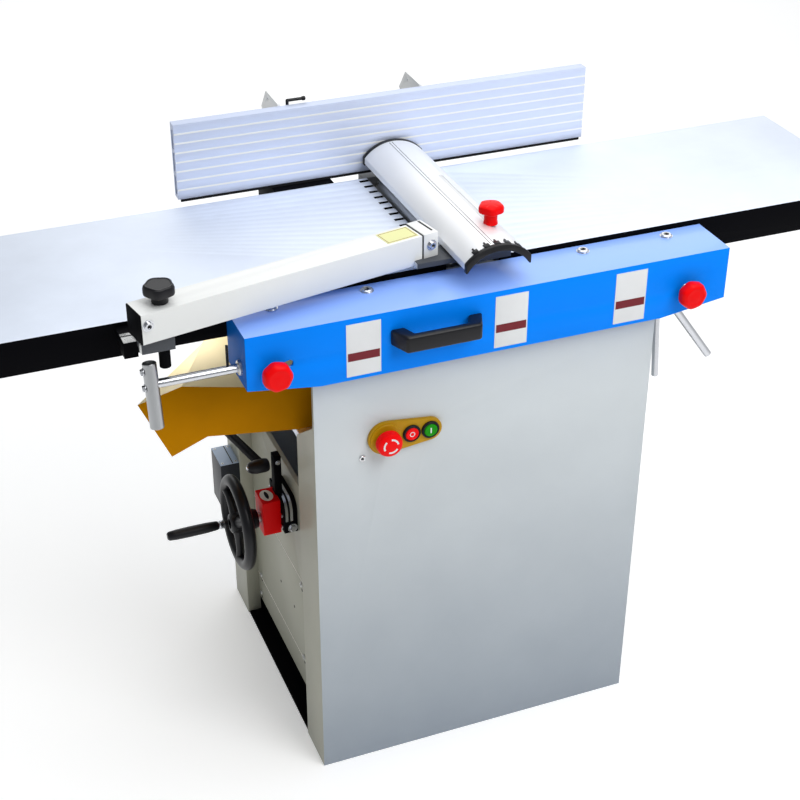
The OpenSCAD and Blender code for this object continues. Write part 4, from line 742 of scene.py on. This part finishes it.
def makeSwitch(spec):
    z, face = spec["z"], spec["face"]
    bm = bmesh.new()
    turned(bm, spec["estopRing"], (spec["estop"], face + 0.3, z), (0, -1, 0), 0)
    for x in (spec["stop"], spec["start"]):
        turned(bm, spec["buttonRing"], (x, face + 0.3, z), (0, -1, 0), 1)
    finishMesh(bm, "switchRings", ["orange_plastic", "darkPartsAndShade"], "cabinet")
    bm = bmesh.new()
    turned(bm, spec["mushroom"], (spec["estop"], face, z), (0, -1, 0), 0, 64)
    for start in spec["arcs"]:
        arcBand(bm, (spec["estop"], face, z), (0, -1, 0), spec["arcRadii"], spec["arcHeights"], start,
                spec["sweep"], 1)
    finishMesh(bm, "estopSkin", ["red_plastic", "labelWhite"], "estop", ["estop_button"])
    for node, x, skin in (("stop_button", spec["stop"], "red_plastic"),
                          ("start_button", spec["start"], "green_plastic")):
        bm = bmesh.new()
        turned(bm, spec["button"], (x, face, z), (0, -1, 0), 0)
        if node == "start_button":
            boxed(bm, (x - 1, face - 4.4, z - 4.5), (x + 1, face - 3.9, z + 4.5), 0.0, 1)
        else:
            arcBand(bm, (x, face, z), (0, -1, 0), (3.0, 4.2), (4.1, 4.4), 0, 359, 1, 24)
        finishMesh(bm, node + "Skin", [skin, "labelWhite"], bodyOfNode[node], [node])


makeSwitch(switch)
frontScrew = {"place": (-203.5, -253, 599), "radius": 5, "height": 2.6}
bm = bmesh.new()
capScrew(bm, frontScrew["place"], (0, -1, 0), frontScrew["radius"], frontScrew["height"])
finishMesh(bm, "frontScrew", ["bright_steel", "darkPartsAndShade"], "cabinet")

# Left side: handwheel, position indicator, feed knob, junction box and side panel screws

wheel = {"x": -344, "y": -45, "z": 378, "ring": 70, "rim": 10, "crank": 67, "turn": -35,
         "spokes": (55, 175, 295),
         "hub": [(8.1, -14), (13, -14), (16, -12), (17, -9), (17, 26), (15, 32), (8.1, 32)],
         "spoke": [(0, 12), (10, 12), (7.5, 32), (6.6, 52), (8.5, 68), (0, 68)],
         "boss": [(5.1, -10), (9, -10), (9.6, -8), (9.6, 8), (9, 10), (5.1, 10)],
         "pin": [(0, -10), (5, -10), (5, 11), (7.4, 11), (7.4, 17), (6.2, 18.5), (6.2, 21)],
         "grip": [(0, 20), (6.6, 20), (7.6, 23), (8.8, 40), (9, 70), (8.6, 92), (7.6, 104), (5.4, 107),
                  (0, 107)]}


def makeHandwheel(spec):
    bm = bmesh.new()
    x, y, z = spec["x"], spec["y"], spec["z"]
    rim = [(spec["ring"] + spec["rim"] * math.cos(math.radians(a)), spec["rim"] * math.sin(math.radians(a)))
           for a in range(0, 361, 18)]
    turned(bm, rim, (x, y, z), (1, 0, 0), 0, 80)
    turned(bm, spec["hub"], (x, y, z), (1, 0, 0), 0)
    for turn in spec["spokes"]:
        angle = math.radians(turn)
        turned(bm, spec["spoke"], (x, y, z), (0, -math.sin(angle), math.cos(angle)), 0, 24)
    angle = math.radians(spec["turn"])
    cy, cz = y + spec["crank"] * math.cos(angle), z + spec["crank"] * math.sin(angle)
    turned(bm, spec["boss"], (x, cy, cz), (1, 0, 0), 0, 32)
    finishMesh(bm, "handwheelSkin", ["black_plastic"], "wheel", ["handwheel"])
    bm = bmesh.new()
    turned(bm, spec["pin"], (x, cy, cz), (-1, 0, 0), 1, 32)
    turned(bm, spec["grip"], (x, cy, cz), (-1, 0, 0), 0, 40)
    finishMesh(bm, "crankSkin", ["black_plastic", "chrome_steel"], "crank", ["crank_grip"])


makeHandwheel(wheel)

gauge = {"x": (-307, -277), "y": -45, "top": 418, "round": (-61, 402, 22), "front": -83,
         "screws": ((-75, 372), (-75, 394), (-15, 372), (-15, 412)), "bands": (2.5, 10.5), "wide": 4.5,
         "rear": -9, "bolts": (((-263, -82.8, 371), 6, 5.5), ((-275, -54, 484), 3.2, 3)),
         "window": ((0.5, 1, (10.5, 15.5)), (0.9, 2, (3.0, 10.5)))}


def makeGaugeTrim(spec):
    bm = bmesh.new()
    mid = sum(spec["x"]) / 2 - 2
    for lift, skin, scale in spec["window"]:
        part = bmesh.new()
        bmesh.ops.create_circle(part, cap_ends=True, segments=40, radius=1.0)
        for vert in part.verts:
            vert.co = Vector((vert.co.x * scale[0] * mm, vert.co.y * scale[1] * mm, 0))
        made = bmesh.ops.extrude_face_region(part, geom=part.faces[:])
        for item in made["geom"]:
            if isinstance(item, bmesh.types.BMVert):
                item.co.z += (lift + 0.4) * mm
        joinInto(bm, part, Matrix.Translation(Vector((mid, spec["y"], spec["top"] - 0.4)) * mm), skin)
    x1 = spec["x"][1]
    for y, z in spec["screws"]:
        capScrew(bm, (x1 + 0.2, y, z), (-1, 0, 0), 3.4, 2.4, 3, 2)
    y, z, r = spec["round"]
    for low in spec["bands"]:
        high = low + spec["wide"]
        turned(bm, [(r - 3, low), (r + 0.4, low), (r + 0.4, high), (r - 3, high)],
               (x1, y, z), (1, 0, 0), 3, 64)
        boxed(bm, (x1 + low, y, z + r - 1), (x1 + high, spec["rear"], z + r + 0.4), 0.0, 3)
        boxed(bm, (x1 + low, spec["front"] - 0.4, z - 17), (x1 + high, spec["front"] + 1, z), 0.0, 3)
    for spot, radius, height in spec["bolts"]:
        hexBolt(bm, spot, (0, -1, 0), radius, height, 3)
    finishMesh(bm, "gaugeTrim", ["red_plastic", "paleWindowAndSeamHighlight", "darkPartsAndShade", "chrome_steel"], "cabinet")


makeGaugeTrim(gauge)

feedKnob = {"x": (-322.5, -287.5), "y": -45, "z": 478,
            "grip": [(0, 0), (8, 0), (10.4, 2), (11.5, 8), (11.5, 22), (9.6, 31), (7, 34), (7, 35), (0, 35)],
            "nut": [(0, 0), (4, 0), (4, 1.6), (2.6, 2.2), (0, 2.2)]}
bm = bmesh.new()
turned(bm, feedKnob["grip"], (feedKnob["x"][1], feedKnob["y"], feedKnob["z"]), (-1, 0, 0), 0, 36)
turned(bm, feedKnob["nut"], (feedKnob["x"][0], feedKnob["y"], feedKnob["z"]), (-1, 0, 0), 1, 20)
finishMesh(bm, "feedKnobSkin", ["black_plastic", "chrome_steel"], "feed_clutch", ["feed_lever_knob"])

boxSeam = {"x": -288.5, "y": (179.5, 238.5), "top": 339, "screwX": (-306, -282), "screwY": (184.5, 233.5)}
bm = bmesh.new()
boxed(bm, (boxSeam["x"] - 0.8, boxSeam["y"][0], boxSeam["top"] - 1),
      (boxSeam["x"] + 0.8, boxSeam["y"][1], boxSeam["top"] + 0.25), 0.0, 0)
for y in boxSeam["screwY"]:
    for x in boxSeam["screwX"]:
        capScrew(bm, (x, y, boxSeam["top"] - 0.2), (0, 0, 1), 2.6, 1.2, 1, 0)
finishMesh(bm, "boxSeam", ["darkPartsAndShade", "bright_steel"], "cabinet")

panelScrews = {"y": (-151, 157), "z": (56, 222.36, 431), "x": 254, "seams": (264, 92), "seamY": (-168, 174),
               "more": ((-92.6, 258), (-92.6, 100.5), (151.5, 101)), "holes": ((29, 176), (-45, 175)),
               "head": (4.5, 3), "shadowSpot": (3, 0.2), "hole": (2.6, 0.25), "drop": 11, "moreDrop": 12}


def makePanelTrim(spec):
    # Screws with a dark disc below each as painted shadow, folded seams with a painted highlight strip over a
    # dark line, and two spare holes
    bm = bmesh.new()
    front, rear = spec["seamY"]
    screws = [(y, z, spec["drop"]) for y in spec["y"] for z in spec["z"]]
    screws += [(y, z, spec["moreDrop"]) for y, z in spec["more"]]
    for side in (-1, 1):
        x, aim = side * spec["x"], (side, 0, 0)
        for y, z, drop in screws:
            capScrew(bm, (x, y, z), aim, *spec["head"])
            # Dark disc below each screw: painted shadow
            disc(bm, (x, y, z - drop), aim, *spec["shadowSpot"], 1)
        for z in spec["seams"]:
            # Pale strip along each seam: painted highlight; the dark strip under it is the seam line
            boxed(bm, (x - 0.3, front, z), (x + 0.3, rear, z + 1.4), 0.0, 2)
            boxed(bm, (x - 0.2, front, z - 1.2), (x + 0.2, rear, z), 0.0, 1)
        for y, z in spec["holes"]:
            disc(bm, (x, y, z), aim, *spec["hole"], 1)
    finishMesh(bm, "panelTrim", ["bright_steel", "darkPartsAndShade", "paleWindowAndSeamHighlight"], "cabinet", ["side_panel_screws"])


makePanelTrim(panelScrews)
print("side details ready")

# Fence: bracket bolts, white beads on the face as painted highlights, a dark strip under it as painted
# shadow, and the lock lever

fenceBolts = {"x": (-178, 63), "apart": 28, "y": 182, "z": (886, 918), "radius": 5.5, "height": 4.5}
bm = bmesh.new()
for x in fenceBolts["x"]:
    for z in fenceBolts["z"]:
        for side in (-1, 1):
            hexBolt(bm, (x + side * fenceBolts["apart"], fenceBolts["y"], z), (0, 1, 0),
                    fenceBolts["radius"], fenceBolts["height"])
finishMesh(bm, "fenceBolts", ["bright_steel"], "fence")

fenceHighlightsAndShadow = {"half": 353.5, "y": 160, "low": 866, "pitch": 15.5, "count": 7, "bead": 1.4, "gap": 861.2}
bm = bmesh.new()
# White beads along the grooves of the face: painted highlights for the lit ledges
for i in range(1, fenceHighlightsAndShadow["count"] + 1):
    z = fenceHighlightsAndShadow["low"] + i * fenceHighlightsAndShadow["pitch"]
    boxed(bm, (-fenceHighlightsAndShadow["half"], fenceHighlightsAndShadow["y"] - 0.25, z - fenceHighlightsAndShadow["bead"]),
          (fenceHighlightsAndShadow["half"], fenceHighlightsAndShadow["y"] + 1.2, z + fenceHighlightsAndShadow["bead"]), 0.2, 0, 1)
# Dark strip in the gap under the face: painted shadow
boxed(bm, (-fenceHighlightsAndShadow["half"] + 4, fenceHighlightsAndShadow["y"] + 0.6, fenceHighlightsAndShadow["gap"]),
      (fenceHighlightsAndShadow["half"] - 4, fenceHighlightsAndShadow["y"] + 3, fenceHighlightsAndShadow["low"] + 1), 0.0, 1)
finishMesh(bm, "fenceHighlightsAndShadow", ["white_paint", "darkPartsAndShade"], "fence")

lockLever = {"x": -162, "y": 178, "z": 972, "rise": 23, "reach": 26, "radius": 2.5,
             "hub": [(0, -4), (4, -4), (4, 0.3), (6.4, 0.3), (7, 1), (7, 9), (6, 10), (0, 10)],
             "tip": [(0, -2), (3, -1.6), (3.5, 0), (3.5, 3), (2.6, 4), (0, 4)]}


def makeLockLever(spec):
    bm = bmesh.new()
    x, y, z, r = spec["x"], spec["y"], spec["z"], spec["radius"]
    turned(bm, spec["hub"], (x, y, z), (0, 1, 0), 0, 36)
    top = Vector((x, y + 6, z + spec["rise"]))
    end = top + Vector((spec["reach"], 0, 0))
    rod(bm, (x, y + 6, z + 4), top, r, 0, 0.2, 24)
    elbow = [(r * math.cos(a / 10), r * math.sin(a / 10)) for a in range(-15, 16, 3)]
    turned(bm, [(0, -r)] + elbow + [(0, r)], top, (0, 1, 0), 0, 24)
    rod(bm, top, end, r, 0, 0.2, 24)
    turned(bm, spec["tip"], end, (1, 0, 0), 0, 24)
    finishMesh(bm, "fenceLockSkin", ["black_plastic"], "fence_lock", ["fence_lock_lever"])


makeLockLever(lockLever)
print("fence details ready")


# Light, floor and camera


def addArea(name, place, target, size, power, color=(1, 1, 1)):
    data = bpy.data.lights.new(name, "AREA")
    data.energy = power
    data.size = size
    data.color = color
    lamp = bpy.data.objects.new(name, data)
    bpy.context.scene.collection.objects.link(lamp)
    lamp.location = place
    lamp.rotation_euler = (Vector(target) - Vector(place)).to_track_quat("-Z", "Y").to_euler()


floorLook = {"reach": 14, "color": 0.9, "glow": 0.3, "roughness": 0.7}


def addFloor(spec):
    bm = bmesh.new()
    bmesh.ops.create_grid(bm, x_segments=1, y_segments=1, size=spec["reach"])
    mesh = bpy.data.meshes.new("paleFloor")
    bm.to_mesh(mesh)
    bm.free()
    floor = bpy.data.objects.new("paleFloor", mesh)
    bpy.context.scene.collection.objects.link(floor)
    shade = (spec["color"],) * 3
    mat, tree, shader = startMaterial("paleFloorPaint", shade, 0.0, spec["roughness"])
    shader.inputs["Base Color"].default_value = (*shade, 1)
    shader.inputs["Emission Color"].default_value = (1, 1, 1, 1)
    shader.inputs["Emission Strength"].default_value = spec["glow"]
    mesh.materials.append(mat)


lamps = [
    {"name": "keyLight", "place": (0.9, -2.2, 2.9), "target": (0, 0, 0.8), "size": 1.6, "power": 44},
    {"name": "skyPanel", "place": (1.3, 3.8, 3.0), "target": (0, 0, 0.8), "size": 4.5, "power": 70},
    {"name": "topPanel", "place": (0.2, -0.4, 3.4), "target": (0, -0.1, 0.8), "size": 2.6, "power": 48},
    {"name": "fenceLight", "place": (0.8, -0.26, 1.3), "target": (0.32, 0.16, 0.93), "size": 0.4,
     "power": 0.9},
    {"name": "underTable", "place": (-0.42, 0.02, 0.785), "target": (-0.41, 0.0, 0.5), "size": 0.14,
     "power": 0.28, "color": (1.0, 0.96, 0.88)},
]
addFloor(floorLook)
for lamp in lamps:
    addArea(**lamp)
sky = {"color": (0.95, 0.98, 1.0, 1), "strength": 0.34}
world = bpy.data.worlds.new("paleWorld")
world.use_nodes = True
world.node_tree.nodes["Background"].inputs["Color"].default_value = sky["color"]
world.node_tree.nodes["Background"].inputs["Strength"].default_value = sky["strength"]
bpy.context.scene.world = world
bpy.context.scene.view_settings.view_transform = "Standard"

photoView = {"place": (-0.8759, -2.0898, 1.9126), "azimuth": 21.75, "elevation": 31.79, "roll": 0.16,
             "lens": 71.43, "sensor": 36, "clip": (0.05, 60)}


def addCamera(place, azimuth, elevation, roll, lens, sensor, clip):
    data = bpy.data.cameras.new("photoCamera")
    data.sensor_width = sensor
    data.sensor_height = sensor
    data.sensor_fit = "HORIZONTAL"
    data.lens = lens
    data.clip_start, data.clip_end = clip
    camera = bpy.data.objects.new("photoCamera", data)
    bpy.context.scene.collection.objects.link(camera)
    turn = math.radians(azimuth)
    rise = math.radians(elevation)
    forward = Vector((math.sin(turn) * math.cos(rise), math.cos(turn) * math.cos(rise), -math.sin(rise)))
    face = forward.to_track_quat("-Z", "Y").to_matrix()
    camera.matrix_world = (Matrix.Translation(Vector(place))
                           @ (face @ Matrix.Rotation(math.radians(roll), 3, "Z")).to_4x4())
    bpy.context.scene.camera = camera


addCamera(**photoView)
print("stage ready")
